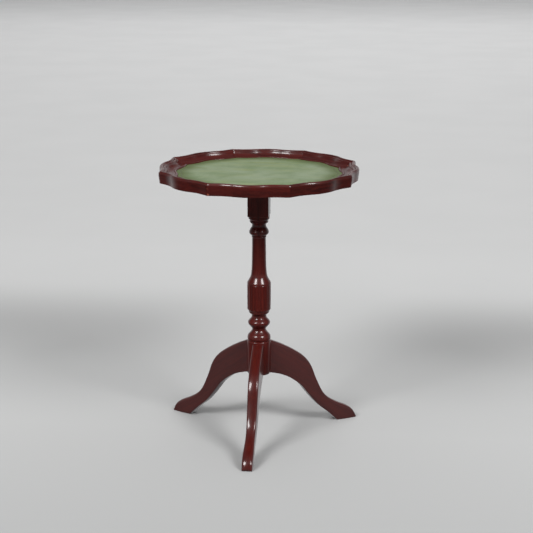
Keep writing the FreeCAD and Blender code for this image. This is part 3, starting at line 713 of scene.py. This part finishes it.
def leg_mesh():
    """A leg along +X: sections set between the lines of its belly and its back."""
    back = curved(leg_line([
        (-0.04, 1.012), (0, 0.997), (0.13, 0.936), (0.27, 0.855), (0.386, 0.767),
        (0.461, 0.665), (0.519, 0.52), (0.596, 0.36), (0.67, 0.273), (0.78, 0.2),
        (0.88, 0.15), (0.94, 0.112), (0.972, 0.078), (0.99, 0.047), (0.999, 0.016)], HUB_HIGH))
    belly = curved(leg_line([
        (-0.04, 1.0), (0, 1.0), (0.114, 0.945), (0.222, 0.858), (0.342, 0.708),
        (0.42, 0.557), (0.493, 0.414), (0.57, 0.288), (0.672, 0.154), (0.765, 0.012),
        (0.78, 0.0)], HUB_LOW))
    sole = [belly[-1], Vector((FOOT_REACH - 2.2 * MM, 0, 0))]
    split = min(range(len(back)), key=lambda k: abs(back[k].x - belly[-1].x - 6 * MM))
    highs = evenly(back[:split + 1], 78) + evenly(back[split:], 34)[1:]
    lows = evenly(belly, 78) + evenly(sole, 34)[1:]
    work = bmesh.new()
    rings = [[work.verts.new(p) for p in leg_section(a, b)] for a, b in zip(lows, highs)]
    bridge(work, rings)
    work.faces.new(rings[0])
    work.faces.new(rings[-1])
    return tidy(as_mesh("leg", work), crease=50.0, fill=False)


leg_pattern = leg_mesh()
# flank marks the legs' side faces, which the finish lightens with a painted sheen.
flank = leg_pattern.attributes.new("flank", "FLOAT", "POINT")
for vertex, share in zip(leg_pattern.vertices, flank.data):
    share.value = max(0.0, min(1.0, (abs(vertex.normal.y) - 0.6) / 0.3))
leg_finish = mahogany("lacquered leg mahogany", tone=0.86, figure=0.3, side_sheen=0.27)
for number, (node, degrees) in enumerate(LEG_TURNS.items()):
    leg = leg_pattern.copy()
    lay_grain(leg, lambda p, n=number: Vector((0.8 * p.x - 0.6 * p.z + 1.7 * n,
                                               0.6 * p.x + 0.8 * p.z, p.y + 0.4 * n)))
    leg.transform(Matrix.Rotation(math.radians(degrees), 4, "Z"))
    leg.materials.append(leg_finish)
    stand(node + "_shaped", leg, "base", [node])

# ---- Hub plate and its screws ----
# A three-armed steel plate under the hub ties the legs to the column. It is cut from sheet,
# bent to follow the bellies of the legs, zinc plated, and held by four slotted wood screws.

EASE = 0.3 * MM


def eased_copy(node, width=EASE, segments=2):
    """A copy of a piece of the frame, merged, with its hard edges eased."""
    mesh = frame["nodes"][node].data.copy()
    work = bmesh.new()
    work.from_mesh(mesh)
    bmesh.ops.remove_doubles(work, verts=work.verts, dist=2e-6)
    bmesh.ops.dissolve_limit(work, angle_limit=math.radians(1.0), verts=work.verts,
                             edges=work.edges)
    hard = [e for e in work.edges if len(e.link_faces) == 2
            and e.calc_face_angle(0) > math.radians(32)]
    bmesh.ops.bevel(work, geom=hard, offset=width, segments=segments, profile=0.5,
                    affect="EDGES", clamp_overlap=True)
    work.to_mesh(mesh)
    work.free()
    mesh.materials.clear()
    return tidy(mesh, fill=False)


def metal(name, brushing, clouds, bright, dull, rubbed, dirt, rough, depth):
    """Brushed metal: fine lines, cloudy tarnish, dark corners and rubbed edges.

    clouds is their scale, detail and twist, and the range of the noise that they take up;
    rubbed is the edges' strength and colour, and a colour for the lines if they show;
    dirt is the corners' strength and colour; rough is the least roughness and what the clouds
    add to it; depth is the strength and distance of the lines' bump.
    """
    finish, tree, shader = new_finish(name)
    place = add(tree, "ShaderNodeTexCoord").outputs["Object"]
    lines = streaks(tree, place, brushing)
    scale, detail, twist, low, high = clouds
    clouds = spread(tree, noise(tree, place, scale, detail, twist), low, high)
    colour = blend_colours(tree, clouds, bright, dull)
    if len(rubbed) > 2:
        colour = blend_colours(tree, spread(tree, lines, 0.3, 0.7, 0.0, 0.25), colour, rubbed[2])
    bend = add(tree, "ShaderNodeNewGeometry").outputs["Pointiness"]
    colour = blend_colours(tree, spread(tree, bend, 0.53, 0.62, 0.0, rubbed[0]), colour, rubbed[1])
    colour = blend_colours(tree, spread(tree, bend, 0.47, 0.38, 0.0, dirt[0]), colour, dirt[1])
    tree.links.new(colour, shader.inputs["Base Color"])
    shader.inputs["Metallic"].default_value = 1.0
    tree.links.new(plus(tree, rough[0], times(tree, clouds, rough[1])), shader.inputs["Roughness"])
    bump = add(tree, "ShaderNodeBump", {"Strength": depth[0], "Distance": depth[1],
                                        "Height": lines})
    tree.links.new(bump.outputs[0], shader.inputs["Normal"])
    return finish


def steel(name, tone=1.0):
    """Dulled zinc plate: faint rolling lines, blotches, dark in the corners, bright edges."""
    return metal(name, (300.0, 3000.0, 3000.0), (160.0, 5.0, 0.0, 0.35, 0.7),
                 (0.52 * tone, 0.51 * tone, 0.49 * tone, 1),
                 (0.34 * tone, 0.33 * tone, 0.31 * tone, 1),
                 (0.6, (0.74, 0.73, 0.71, 1)), (0.7, (0.09, 0.075, 0.06, 1)),
                 (0.30, 0.16), (0.25, 0.00004))


def turned(name, outline, around):
    """A plain turning from a half outline, given as radii and heights."""
    helper = line_object(name + " outline", [Vector((r, 0, z)) for r, z in outline])
    blank = run_tree(name, turning, {
        "Outline": helper, "Around": around, "Reeds": 0.0, "Reed depth": 0.0, "Reeds low": 1.0,
        "Reeds high": 2.0}, [helper])
    return tidy(blank, fill=False)


def screw_blank(length, shank, head):
    """A countersunk slotted screw, its flat head at the origin and its point up."""
    thread = []
    z = 0.42 * length
    while z < length - 2.4 * shank:
        thread += [(0.78 * shank, z), (shank, z + 0.18 * shank), (0.78 * shank, z + 0.36 * shank)]
        z += 0.62 * shank
    outline = ([(0, 0), (head * 0.93, 0), (head, 0.06 * head), (shank, head - shank + 0.06 * head),
                (shank, 0.40 * length)] + thread + [(0.74 * shank, length - 2.2 * shank),
                                                    (0.0, length)])
    blank = turned("screw", outline, 28)
    slot = cutters([(Vector((-1.2 * head, -0.14 * head, -head)),
                     Vector((1.2 * head, 0.14 * head, 0.25 * head)))], [])
    return tidy(carve(blank, slot), crease=30, fill=False)


def screws_tree():
    """Stands a screw at each place, driven along its aim, its slot turned at random."""
    made, given = new_tree("screws", [
        ("Places", "NodeSocketObject"), ("Screw", "NodeSocketObject"),
        ("Seed", "NodeSocketInt"), ("Finish", "NodeSocketMaterial")])
    aim = add(made, "GeometryNodeInputNamedAttribute", {"Name": "aim"},
              data_type="FLOAT_VECTOR").outputs["Attribute"]
    facing = add(made, "FunctionNodeAlignRotationToVector", {"Vector": aim}, axis="Z")
    turn = add(made, "FunctionNodeRandomValue", {2: 0.0, 3: math.pi, "Seed": given["Seed"]},
               data_type="FLOAT").outputs[1]
    spin = add(made, "FunctionNodeAxisAngleToRotation", {"Axis": (0, 0, 1), "Angle": turn})
    facing = add(made, "FunctionNodeRotateRotation", {
        0: facing.outputs[0], 1: spin.outputs[0]}, rotation_space="LOCAL")
    stood = add(made, "GeometryNodeInstanceOnPoints", {
        "Points": shape_of(made, given["Places"]), "Instance": shape_of(made, given["Screw"]),
        "Rotation": facing.outputs[0]})
    tree_output(made, stood.outputs[0], given["Finish"])
    return made


def screw_place(node, aim):
    """Where the head of a screw in the frame is, and the way that the screw is driven."""
    low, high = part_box(node)
    head = [(a + b) / 2 if not way else a if way > 0 else b for a, b, way in zip(low, high, aim)]
    return Vector(head), Vector(aim)


def drive(name, sizes, places, body, nodes, finish, seed):
    """Screws of one size at several (head, aim) places, as one mesh on one body."""
    spots = bpy.data.meshes.new("places")
    spots.from_pydata([tuple(head) for head, _ in places], [], [])
    aims = spots.attributes.new("aim", "FLOAT_VECTOR", "POINT")
    for item, (_, aim) in zip(aims.data, places):
        item.vector = aim
    helpers = [bpy.data.objects.new("places", spots),
               bpy.data.objects.new("screw", screw_blank(*sizes))]
    mesh = run_tree(name, screws, {"Places": helpers[0], "Screw": helpers[1], "Seed": seed,
                                   "Finish": finish}, helpers)
    mesh.set_sharp_from_angle(angle=math.radians(30))
    return stand(name, mesh, body, nodes)


PLATE_SLOPE = math.atan(0.33)
PLATE_SCREW = (16 * MM, 1.6 * MM, 3.2 * MM)
zinc = steel("dull zinc plate")
screw_steel = steel("screw steel", tone=0.8)
plate = eased_copy("hub_plate")
plate.materials.append(zinc)
stand("hub_plate_bent", plate, "base", ["hub_plate"])

screws = screws_tree()
plate_places = [(Vector((0, 0, HUB_LOW)), Vector((0, 0, 1)))]
out = 39.0 * MM
for degrees in LEG_TURNS.values():
    turn = Matrix.Rotation(math.radians(degrees), 3, "Z")
    head = Vector((out, 0, HUB_LOW - math.tan(PLATE_SLOPE) * (out - HUB_RADIUS)))
    aim = Vector((math.sin(PLATE_SLOPE), 0, math.cos(PLATE_SLOPE)))
    plate_places.append((turn @ head, turn @ aim))
drive("plate_screws", PLATE_SCREW, plate_places, "base",
      ["plate_screw_column", "plate_screw_front", "plate_screw_left", "plate_screw_right"],
      screw_steel, 3)

# ---- Striker ----
# A folded brass strip let into the back of the head, with a hole for the catch's nose. Two
# small brass screws hold it. It is brushed along its length and has gone a little dull.


def brass(name, tone=1.0):
    """Brushed brass: fine lines, brown tarnish in the corners, rubbed bright on the edges."""
    return metal(name, (3600.0, 260.0, 3600.0), (130.0, 6.0, 0.6, 0.38, 0.66),
                 (0.62 * tone, 0.42 * tone, 0.155 * tone, 1),
                 (0.42 * tone, 0.26 * tone, 0.085 * tone, 1),
                 (0.7, (0.86, 0.66, 0.32, 1), (0.30, 0.19, 0.07, 1)),
                 (0.75, (0.10, 0.060, 0.025, 1)), (0.24, 0.2), (0.2, 0.00003))


aged_brass = brass("aged brass")
striker = eased_copy("striker", 0.15 * MM)
striker.materials.append(aged_brass)
stand("striker_folded", striker, "base", ["striker"])
STRIKER_SCREW = (10 * MM, 1.1 * MM, 2.2 * MM)
nodes = ["striker_screw_1", "striker_screw_2"]
drive("striker_screws", STRIKER_SCREW, [screw_place(node, (0, -1, 0)) for node in nodes],
      "base", nodes, aged_brass, 5)

# ---- Top board ----
# A flat octagonal board, veneered and stained brown underneath and left dull. It sits in the
# rebate of the mouldings, and the leather is glued to its upper face.

board, tree, shader = new_finish("stained board")
place = add(tree, "ShaderNodeTexCoord").outputs["Object"]

figure = spread(tree, streaks(tree, place, (26.0, 2.0, 26.0), 3.0, 0.5), 0.35, 0.65)
fibres = spread(tree, streaks(tree, place, (1100.0, 25.0, 1100.0), 2.0, 0.5), 0.35, 0.68)
pores = spread(tree, streaks(tree, place, (2000.0, 70.0, 2000.0), 1.0, 0.5), 0.58, 0.66)
stains = spread(tree, noise(tree, place, 14.0, 4.0), 0.4, 0.7)
colour = blend_colours(tree, figure, (0.150, 0.058, 0.030, 1), (0.085, 0.030, 0.017, 1))
colour = tinted(tree, colour, (fibres, 0.35, (0.050, 0.018, 0.011, 1)),
                (pores, 0.7, (0.018, 0.008, 0.006, 1)), (stains, 0.3, (0.060, 0.024, 0.014, 1)))
tree.links.new(colour, shader.inputs["Base Color"])
tree.links.new(plus(tree, 0.46, times(tree, stains, 0.15)),
               shader.inputs["Roughness"])
bump = add(tree, "ShaderNodeBump", {"Strength": 0.4, "Distance": 0.00006,
                                    "Height": less(tree, times(tree, fibres, 0.4), pores)})
tree.links.new(bump.outputs[0], shader.inputs["Normal"])
for slot in frame["nodes"]["top_board"].material_slots:
    slot.material = board

# ---- Rim mouldings ----
# Eight lengths of mahogany moulding, one to a side, mitred at the corners and glued round the
# board. Each swells outwards in the middle. The profile is a bold bead, a band and a cove.

SIDES = 8
RIM_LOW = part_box("rim_1")[0].z
SIDE_WAY = -math.pi / 2
HALF_CORNER = math.pi / SIDES
APOTHEM = 182.4 * MM * math.cos(HALF_CORNER)
HALF_SIDE = APOTHEM * math.tan(HALF_CORNER)
BULGE = 9.4 * MM
RIM_WIDTH = 30.0 * MM
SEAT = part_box("top_board")[1].x + 0.1 * MM
SEAT_DEPTH = 9.2 * MM
MITRE_GAP = 0.04 * MM
MITRE_WEAR = 0.04 * MM


def side_line(inset, steps=20, gap=0.0):
    """One side of the top seen from above, facing +X: straight at its ends, swelled between."""
    bend = HALF_SIDE * 0.75
    sweep = 2 * math.atan(BULGE / bend)
    radius = bend / (2 * math.sin(sweep))
    half = []
    for k in range(steps + 1):
        turn = sweep * k / steps
        half.append(Vector((APOTHEM + BULGE - radius + (radius - inset) * math.cos(turn),
                            (radius - inset) * math.sin(turn), 0)))
    for k in range(1, steps + 1):
        turn = sweep * (1 - k / steps)
        half.append(Vector((APOTHEM + radius - (radius + inset) * math.cos(turn),
                            bend - (radius + inset) * math.sin(turn), 0)))
    corner = (APOTHEM - inset) * math.tan(HALF_CORNER) - gap
    for share in (0.2, 0.4, 0.6, 0.8):
        half.append(Vector((APOTHEM - inset, bend + (corner - bend) * share, 0)))
    half.append(Vector((APOTHEM - inset, corner - 1.5 * MITRE_WEAR, 0)))
    half.append(Vector((APOTHEM - inset, corner, 0)))
    return [Vector((p.x, -p.y, 0)) for p in reversed(half[1:])] + half


def rim_section():
    """The moulding's profile: how far in from the outer edge, and how high."""
    stretches = [
        [(1.75, 0), (1.2, 5.5), (0.35, 11.5), (0, 16.25)],
        [(0, 16.25), (0.15, 18.2), (0.95, 20.1), (2.1, 21.2), (3.5, 21.5), (5.0, 21.1),
         (6.3, 19.9), (7.0, 18.3)],
        [(7.0, 18.3), (7.8, 19.3)],
        [(7.8, 19.3), (9.0, 19.25), (10.2, 18.9)],
        [(10.2, 18.9), (11.1, 17.7)],
        [(11.1, 17.7), (12.3, 15.0), (15.2, 12.5), (19.5, 11.2), (25.4, 10.7)],
        [(25.4, 10.7), (26.1, 11.5), (27.4, 11.95), (28.8, 11.7), (29.8, 10.8), (30.0, 10.2)],
        [(30.0, 10.2), (30.0, 9.25)],
        [(30.0, 9.25), (25.7, 9.19)],
        [(25.7, 9.19), (25.7, 0.0)],
        [(25.7, 0.0), (1.75, 0.0)]]
    line = []
    for stretch in stretches:
        points = curved([Vector((d * MM, 0, z * MM)) for d, z in stretch], 4)
        line += points if not line else points[1:]
    return eased(line[:-1], 0.35 * MM, closed=True)


def shrunk(loop, depth):
    """A closed profile moved inwards by a small depth."""
    out = []
    for k, point in enumerate(loop):
        along = loop[(k + 1) % len(loop)] - loop[k - 1]
        inwards = Vector((along.z, 0, -along.x)).normalized()
        out.append(point + inwards * depth)
    return out


def rim_tree():
    """Sweeps the profile between the outer and inner lines of a side, then sets out the sides."""
    made, given = new_tree("rim", [
        ("Outer line", "NodeSocketObject"), ("Inner line", "NodeSocketObject"),
        ("Profile", "NodeSocketObject"), ("Worn profile", "NodeSocketObject"),
        ("Width", "NodeSocketFloat"), ("Seat", "NodeSocketFloat"),
        ("Seat depth", "NodeSocketFloat"), ("Base height", "NodeSocketFloat"),
        ("Sides", "NodeSocketInt"), ("First side", "NodeSocketFloat"),
        ("Finish", "NodeSocketMaterial")])
    outer, inner, profile, worn = (shape_of(made, given[label]) for label in (
        "Outer line", "Inner line", "Profile", "Worn profile"))
    steps, rows = count_of(made, outer), count_of(made, profile)
    wide = plus(made, rows, 1)
    skin = add(made, "GeometryNodeMeshGrid", {"Vertices X": steps, "Vertices Y": wide})
    row, step = row_and_step(made, wide)
    row = times(made, row, maths(made, "LESS_THAN", row, less(made, rows, 0.5)))
    last = less(made, steps, 1)
    at_end = maths(made, "MAXIMUM", maths(made, "LESS_THAN", step, 0.5),
                    maths(made, "GREATER_THAN", step, less(made, last, 0.5)))
    cut = add(made, "ShaderNodeMix", {0: at_end, 4: point_of(made, profile, row),
                                       5: point_of(made, worn, row)},
              data_type="VECTOR").outputs[1]
    parts = parts_of(made, cut)
    a, b = point_of(made, outer, step), point_of(made, inner, step)
    ax, bx = parts_of(made, a)[0], parts_of(made, b)[0]
    share = maths(made, "DIVIDE", parts[0], given["Width"])
    most = maths(made, "DIVIDE", less(made, ax, given["Seat"]),
                  less(made, ax, bx))
    seated = maths(made, "LESS_THAN", parts[2], given["Seat depth"])
    held = maths(made, "MINIMUM", share, most)
    share = plus(made, share, times(made, seated, less(made, held, share)))
    flat = add(made, "ShaderNodeMix", {0: share, 4: a, 5: b}, data_type="VECTOR",
               clamp_factor=False).outputs[1]
    spot = add(made, "ShaderNodeVectorMath", {0: flat, 1: add(made, "ShaderNodeCombineXYZ", {
        2: plus(made, parts[2], given["Base height"])}).outputs[0]}).outputs[0]
    moved = add(made, "GeometryNodeSetPosition", {"Geometry": skin.outputs[0], "Position": spot})
    swap = parts_of(made, add(made, "GeometryNodeInputPosition").outputs[0])
    grain = add(made, "ShaderNodeCombineXYZ", {0: swap[1], 1: swap[0], 2: swap[2]}).outputs[0]
    marked = add(made, "GeometryNodeStoreNamedAttribute", {
        "Geometry": moved.outputs[0], "Name": "grain", "Value": grain},
        data_type="FLOAT_VECTOR", domain="POINT")
    centre = add(made, "GeometryNodeMeshLine", {"Count": given["Sides"], "Offset": (0, 0, 0)})
    index = add(made, "GeometryNodeInputIndex").outputs[0]
    corner = maths(made, "DIVIDE", 2 * math.pi, given["Sides"])
    angle = plus(made, given["First side"], times(made, index, corner))
    around = add(made, "ShaderNodeCombineXYZ", {2: angle}).outputs[0]
    copies = add(made, "GeometryNodeInstanceOnPoints", {
        "Points": centre.outputs[0], "Instance": marked.outputs[0], "Rotation": around})
    tagged = add(made, "GeometryNodeStoreNamedAttribute", {
        "Geometry": copies.outputs[0], "Name": "length", "Value": index},
        data_type="FLOAT", domain="INSTANCE")
    real = add(made, "GeometryNodeRealizeInstances", {"Geometry": tagged.outputs[0]})
    own = add(made, "GeometryNodeInputNamedAttribute", {"Name": "grain"},
              data_type="FLOAT_VECTOR").outputs["Attribute"]
    length = add(made, "GeometryNodeInputNamedAttribute", {"Name": "length"},
                 data_type="FLOAT").outputs["Attribute"]
    shift = add(made, "ShaderNodeCombineXYZ", {
        0: times(made, length, 0.83), 1: times(made, length, 0.37)})
    apart = add(made, "ShaderNodeVectorMath", {0: own, 1: shift.outputs[0]}).outputs[0]
    done = add(made, "GeometryNodeStoreNamedAttribute", {
        "Geometry": real.outputs[0], "Name": "grain", "Value": apart},
        data_type="FLOAT_VECTOR", domain="POINT")
    tree_output(made, done.outputs[0], given["Finish"])
    return made


rim_finish = mahogany("lacquered rim mahogany", tone=0.86, wear=1.4)
rim_shader = rim_finish.node_tree.nodes["Principled BSDF"]
rim_shader.inputs["Coat Roughness"].default_value = 0.2
profile = rim_section()
rim_parts = [line_object("outer line", side_line(0.0, gap=MITRE_GAP)),
             line_object("inner line", side_line(RIM_WIDTH, gap=MITRE_GAP)),
             line_object("profile", profile),
             line_object("worn profile", shrunk(profile, MITRE_WEAR))]
rim = run_tree("rim", rim_tree(), {
    "Outer line": rim_parts[0], "Inner line": rim_parts[1], "Profile": rim_parts[2],
    "Worn profile": rim_parts[3], "Width": RIM_WIDTH, "Seat": SEAT, "Seat depth": SEAT_DEPTH,
    "Base height": RIM_LOW, "Sides": SIDES, "First side": SIDE_WAY, "Finish": rim_finish},
    rim_parts)
tidy(rim, crease=50.0)
stand("rim_mouldings", rim, "top", ["rim_%d" % k for k in range(1, SIDES + 1)])

# ---- Leather ----
# One piece of pale green hide, glued to the board inside the mouldings. It is waxed and
# mottled, and a blind line is tooled round it. It is darker towards its edge, partly a stain
# of the hide and partly painted shade where the mouldings shadow it.

LEATHER_LOW, LEATHER_HIGH = (corner.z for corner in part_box("leather"))
LEATHER_INSET = RIM_WIDTH + 0.2 * MM
TOOLED = 7.0 * MM
TOOLED_WIDTH = 1.1 * MM
TOOLED_DEPTH = 0.22 * MM


def leather_mesh():
    """Loops that follow the mouldings from the cut edge to the middle, pressed in at the line."""
    rings = [(0.0, LEATHER_LOW), (0.0, LEATHER_HIGH - 0.30 * MM),
             (0.10 * MM, LEATHER_HIGH - 0.10 * MM), (0.35 * MM, LEATHER_HIGH),
             (1.5 * MM, LEATHER_HIGH), (4.0 * MM, LEATHER_HIGH)]
    for share, depth in ((-0.5, 0.0), (-0.3, 0.75), (0.0, 1.0), (0.3, 0.75), (0.5, 0.0)):
        rings.append((TOOLED + TOOLED_WIDTH * share, LEATHER_HIGH - TOOLED_DEPTH * depth))
    rings.append((10.5 * MM, LEATHER_HIGH))
    work = bmesh.new()
    edge = work.verts.layers.float.new("edge")
    loops = []
    inmost = LEATHER_INSET + rings[-1][0]
    reach = APOTHEM - inmost

    def add_loop(inset, height, scale=1.0, depth=0.0):
        """One loop round the panel, marked with how far in from the edge it lies."""
        loop = []
        line = side_line(inset)[1:]
        for side in range(SIDES):
            turn = Matrix.Rotation(SIDE_WAY + 2 * math.pi * side / SIDES, 3, "Z")
            for point in line:
                spot = turn @ point * scale
                vertex = work.verts.new((spot.x, spot.y, height))
                vertex[edge] = depth
                loop.append(vertex)
        loops.append(loop)

    for depth, height in rings:
        add_loop(LEATHER_INSET + depth, height, depth=depth)
    for scale in (0.94, 0.85, 0.65, 0.42, 0.2):
        add_loop(inmost, LEATHER_HIGH, scale, rings[-1][0] + reach * (1 - scale))
    bridge(work, loops)
    middle = work.verts.new((0, 0, LEATHER_HIGH))
    middle[edge] = rings[-1][0] + reach
    for k in range(len(loops[-1])):
        work.faces.new((loops[-1][k], loops[-1][(k + 1) % len(loops[-1])], middle))
    work.faces.new(reversed(loops[0]))
    return tidy(as_mesh("leather", work), crease=60.0, fill=False)


hide, tree, shader = new_finish("green hide")
place = add(tree, "ShaderNodeTexCoord").outputs["Object"]
inwards = add(tree, "ShaderNodeAttribute", attribute_name="edge").outputs["Fac"]
pebbles = add(tree, "ShaderNodeTexVoronoi", {"Vector": place, "Scale": 900.0},
              feature="DISTANCE_TO_EDGE").outputs["Distance"]
pebbles = spread(tree, pebbles, 0.0, 0.35)
clouds = noise(tree, place, 16.0, 5.0, 0.8)
wide = noise(tree, place, 5.0)
blots = noise(tree, place, 34.0, 3.0, 0.5)
brushed = add(tree, "ShaderNodeMapping", {0: place, "Rotation": (0, 0, 0.12),
                                          "Scale": (14.0, 70.0, 9.0)})
brushed = noise(tree, brushed.outputs[0], 1.0, 4.0)
colour = blend_colours(tree, spread(tree, clouds, 0.36, 0.66), (0.148, 0.186, 0.112, 1),
                       (0.104, 0.144, 0.070, 1))
colour = blend_colours(tree, spread(tree, brushed, 0.47, 0.66, 0.0, 0.5), colour,
                       (0.156, 0.178, 0.064, 1))
colour = blend_colours(tree, spread(tree, wide, 0.42, 0.62, 0.0, 0.4), colour,
                       (0.180, 0.212, 0.150, 1))
colour = blend_colours(tree, spread(tree, blots, 0.45, 0.75, 0.0, 0.5), colour,
                       (0.072, 0.105, 0.046, 1))
# Darker towards the edge: partly a stain of the hide, partly painted shade where the mouldings
# shadow the leather and dim its sheen.
stained = less(tree, inwards, times(tree, wide, 14 * MM))
colour = blend_colours(tree, spread(tree, stained, 28 * MM, -2 * MM, 0.0, 0.9), colour,
                       (0.050, 0.068, 0.018, 1))
tool = maths(tree, "ABSOLUTE", less(tree, inwards, TOOLED))
colour = blend_colours(tree, spread(tree, tool, 1.0 * MM, 0.45 * MM, 0.0, 0.55), colour,
                       (0.060, 0.062, 0.046, 1))
colour = blend_colours(tree, times(tree, less(tree, 1.0, pebbles), 0.22),
                       colour, (0.050, 0.080, 0.025, 1))
tree.links.new(colour, shader.inputs["Base Color"])
rough = plus(tree, 0.40, times(tree, clouds, 0.22))
tree.links.new(rough, shader.inputs["Roughness"])
shader.inputs["Specular IOR Level"].default_value = 0.42
bump = add(tree, "ShaderNodeBump", {"Strength": 0.35, "Distance": 0.00012, "Height": pebbles})
swell = add(tree, "ShaderNodeBump", {"Strength": 0.25, "Distance": 0.0008, "Height": clouds,
                                     "Normal": bump.outputs[0]})
tree.links.new(swell.outputs[0], shader.inputs["Normal"])
leather = leather_mesh()
leather.materials.append(hide)
stand("leather_panel", leather, "top", ["leather"])

# ---- Bearers and their screws ----
# Two mahogany battens screwed under the board from below, one each side of the head. They are
# planed, thinned towards their ends, and stained without lacquer.

bearer_wood = mahogany("stained bearer mahogany", tone=1.5)
bearer_shader = bearer_wood.node_tree.nodes["Principled BSDF"]
bearer_shader.inputs["Coat Weight"].default_value = 0.25
bearer_shader.inputs["Coat Roughness"].default_value = 0.35
for number, side in enumerate(("left", "right")):
    bearer = eased_copy("bearer_" + side, 0.6 * MM)
    lay_grain(bearer, lambda p, n=number: Vector((p.y + 0.6 * n, p.x, p.z)))
    bearer.materials.append(bearer_wood)
    stand("bearer_%s_planed" % side, bearer, "top", ["bearer_" + side])
for ends, low_nodes in (("short", (1, 2)), ("long", (3,))):
    nodes = ["bearer_screw_%s_%d" % (side, k) for side in ("left", "right") for k in low_nodes]
    low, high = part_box(nodes[0])
    drive("bearer_screws_" + ends, (high.z - low.z, 2.0 * MM, 3.96 * MM),
          [screw_place(node, (0, 0, 1)) for node in nodes], "top", nodes, screw_steel,
          7 + len(nodes))

# ---- Pivot pins ----
# Two turned steel pins, pressed through the bearers and free in the head. Their outer ends
# have low domed heads with a slot, polished when they were turned.

PIN_HEAD = 5.5 * MM
for number, (side, way) in enumerate((("left", -1), ("right", 1))):
    low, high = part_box("pivot_pin_" + side)
    inner, outer = (low.x, high.x) if way > 0 else (-high.x, -low.x)
    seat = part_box("bearer_right")[1].x
    outline = [(0, inner), (PIN_RADIUS - 0.5 * MM, inner), (PIN_RADIUS, inner + 0.5 * MM),
               (PIN_RADIUS, seat), (PIN_HEAD, seat), (PIN_HEAD, seat + 1.0 * MM),
               (PIN_HEAD - 0.35 * MM, seat + 1.65 * MM),
               (PIN_HEAD - 1.3 * MM, seat + 2.0 * MM), (0, outer)]
    slot = cutters([(Vector((-0.6 * MM, -7 * MM, outer - 1.1 * MM)),
                     Vector((0.6 * MM, 7 * MM, outer + MM)))], [])
    pin = carve(turned("pin", outline, 48), slot)
    pin.transform(Matrix.Translation((0, PIVOT.y, PIVOT.z)) @ Matrix.Rotation(
        way * math.pi / 2, 4, "Y") @ Matrix.Rotation(0.5 + number, 4, "Z"))
    pin.materials.clear()
    pin.materials.append(screw_steel)
    tidy(pin, crease=30, fill=False)
    stand("pivot_pin_%s_turned" % side, pin, "top", ["pivot_pin_" + side])

# ---- Catch ----
# A brass case with screwed flanges holds a sprung bolt. The bolt's bevelled nose snaps into the
# striker; a stem through a slot in the case ends in the knob that draws it back.

case = eased_copy("catch_case", 0.35 * MM)
case.materials.append(aged_brass)
stand("catch_case_cast", case, "top", ["catch_case"])
nodes = ["catch_screw_%d" % number for number in range(1, 5)]
CATCH_SCREW = (7.5 * MM, 1.1 * MM, 2.2 * MM)
drive("catch_screws", CATCH_SCREW, [screw_place(node, (0, 0, 1)) for node in nodes], "top",
      nodes, aged_brass, 12)

bolt = eased_copy("catch_bolt", 0.2 * MM)
bolt.materials.append(brass("polished bolt brass", tone=1.12))
stand("catch_bolt_filed", bolt, "catch", ["catch_bolt"])

spring_low, spring_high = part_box("catch_spring")
WIRE = 0.26 * MM


def coil_tree():
    """Winds a wire into an open coil that stands along the Z axis."""
    made, given = new_tree("coil", [
        ("Turns", "NodeSocketFloat"), ("Radius", "NodeSocketFloat"), ("Length", "NodeSocketFloat"),
        ("Wire", "NodeSocketFloat"), ("Finish", "NodeSocketMaterial")])
    path = add(made, "GeometryNodeCurveSpiral", {
        "Resolution": 24, "Rotations": given["Turns"], "Start Radius": given["Radius"],
        "End Radius": given["Radius"], "Height": given["Length"]})
    wire = add(made, "GeometryNodeCurvePrimitiveCircle", {
        "Resolution": 8, "Radius": given["Wire"]})
    tube = add(made, "GeometryNodeCurveToMesh", {
        "Curve": path.outputs[0], "Profile Curve": wire.outputs[0], "Fill Caps": True})
    tree_output(made, tube.outputs[0], given["Finish"])
    return made


coil_radius = (spring_high.x - spring_low.x) / 2 - WIRE
coil = run_tree("coil", coil_tree(), {
    "Turns": 9.0, "Radius": coil_radius, "Length": spring_high.y - spring_low.y - 2 * WIRE,
    "Wire": WIRE, "Finish": zinc})
coil.transform(Matrix.Translation((0, spring_low.y + WIRE, (spring_low.z + spring_high.z) / 2))
               @ Matrix.Rotation(-math.pi / 2, 4, "X"))
spring = stand("catch_spring_coil", tidy(coil, crease=60, fill=False), "top", ["catch_spring"])
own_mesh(spring)
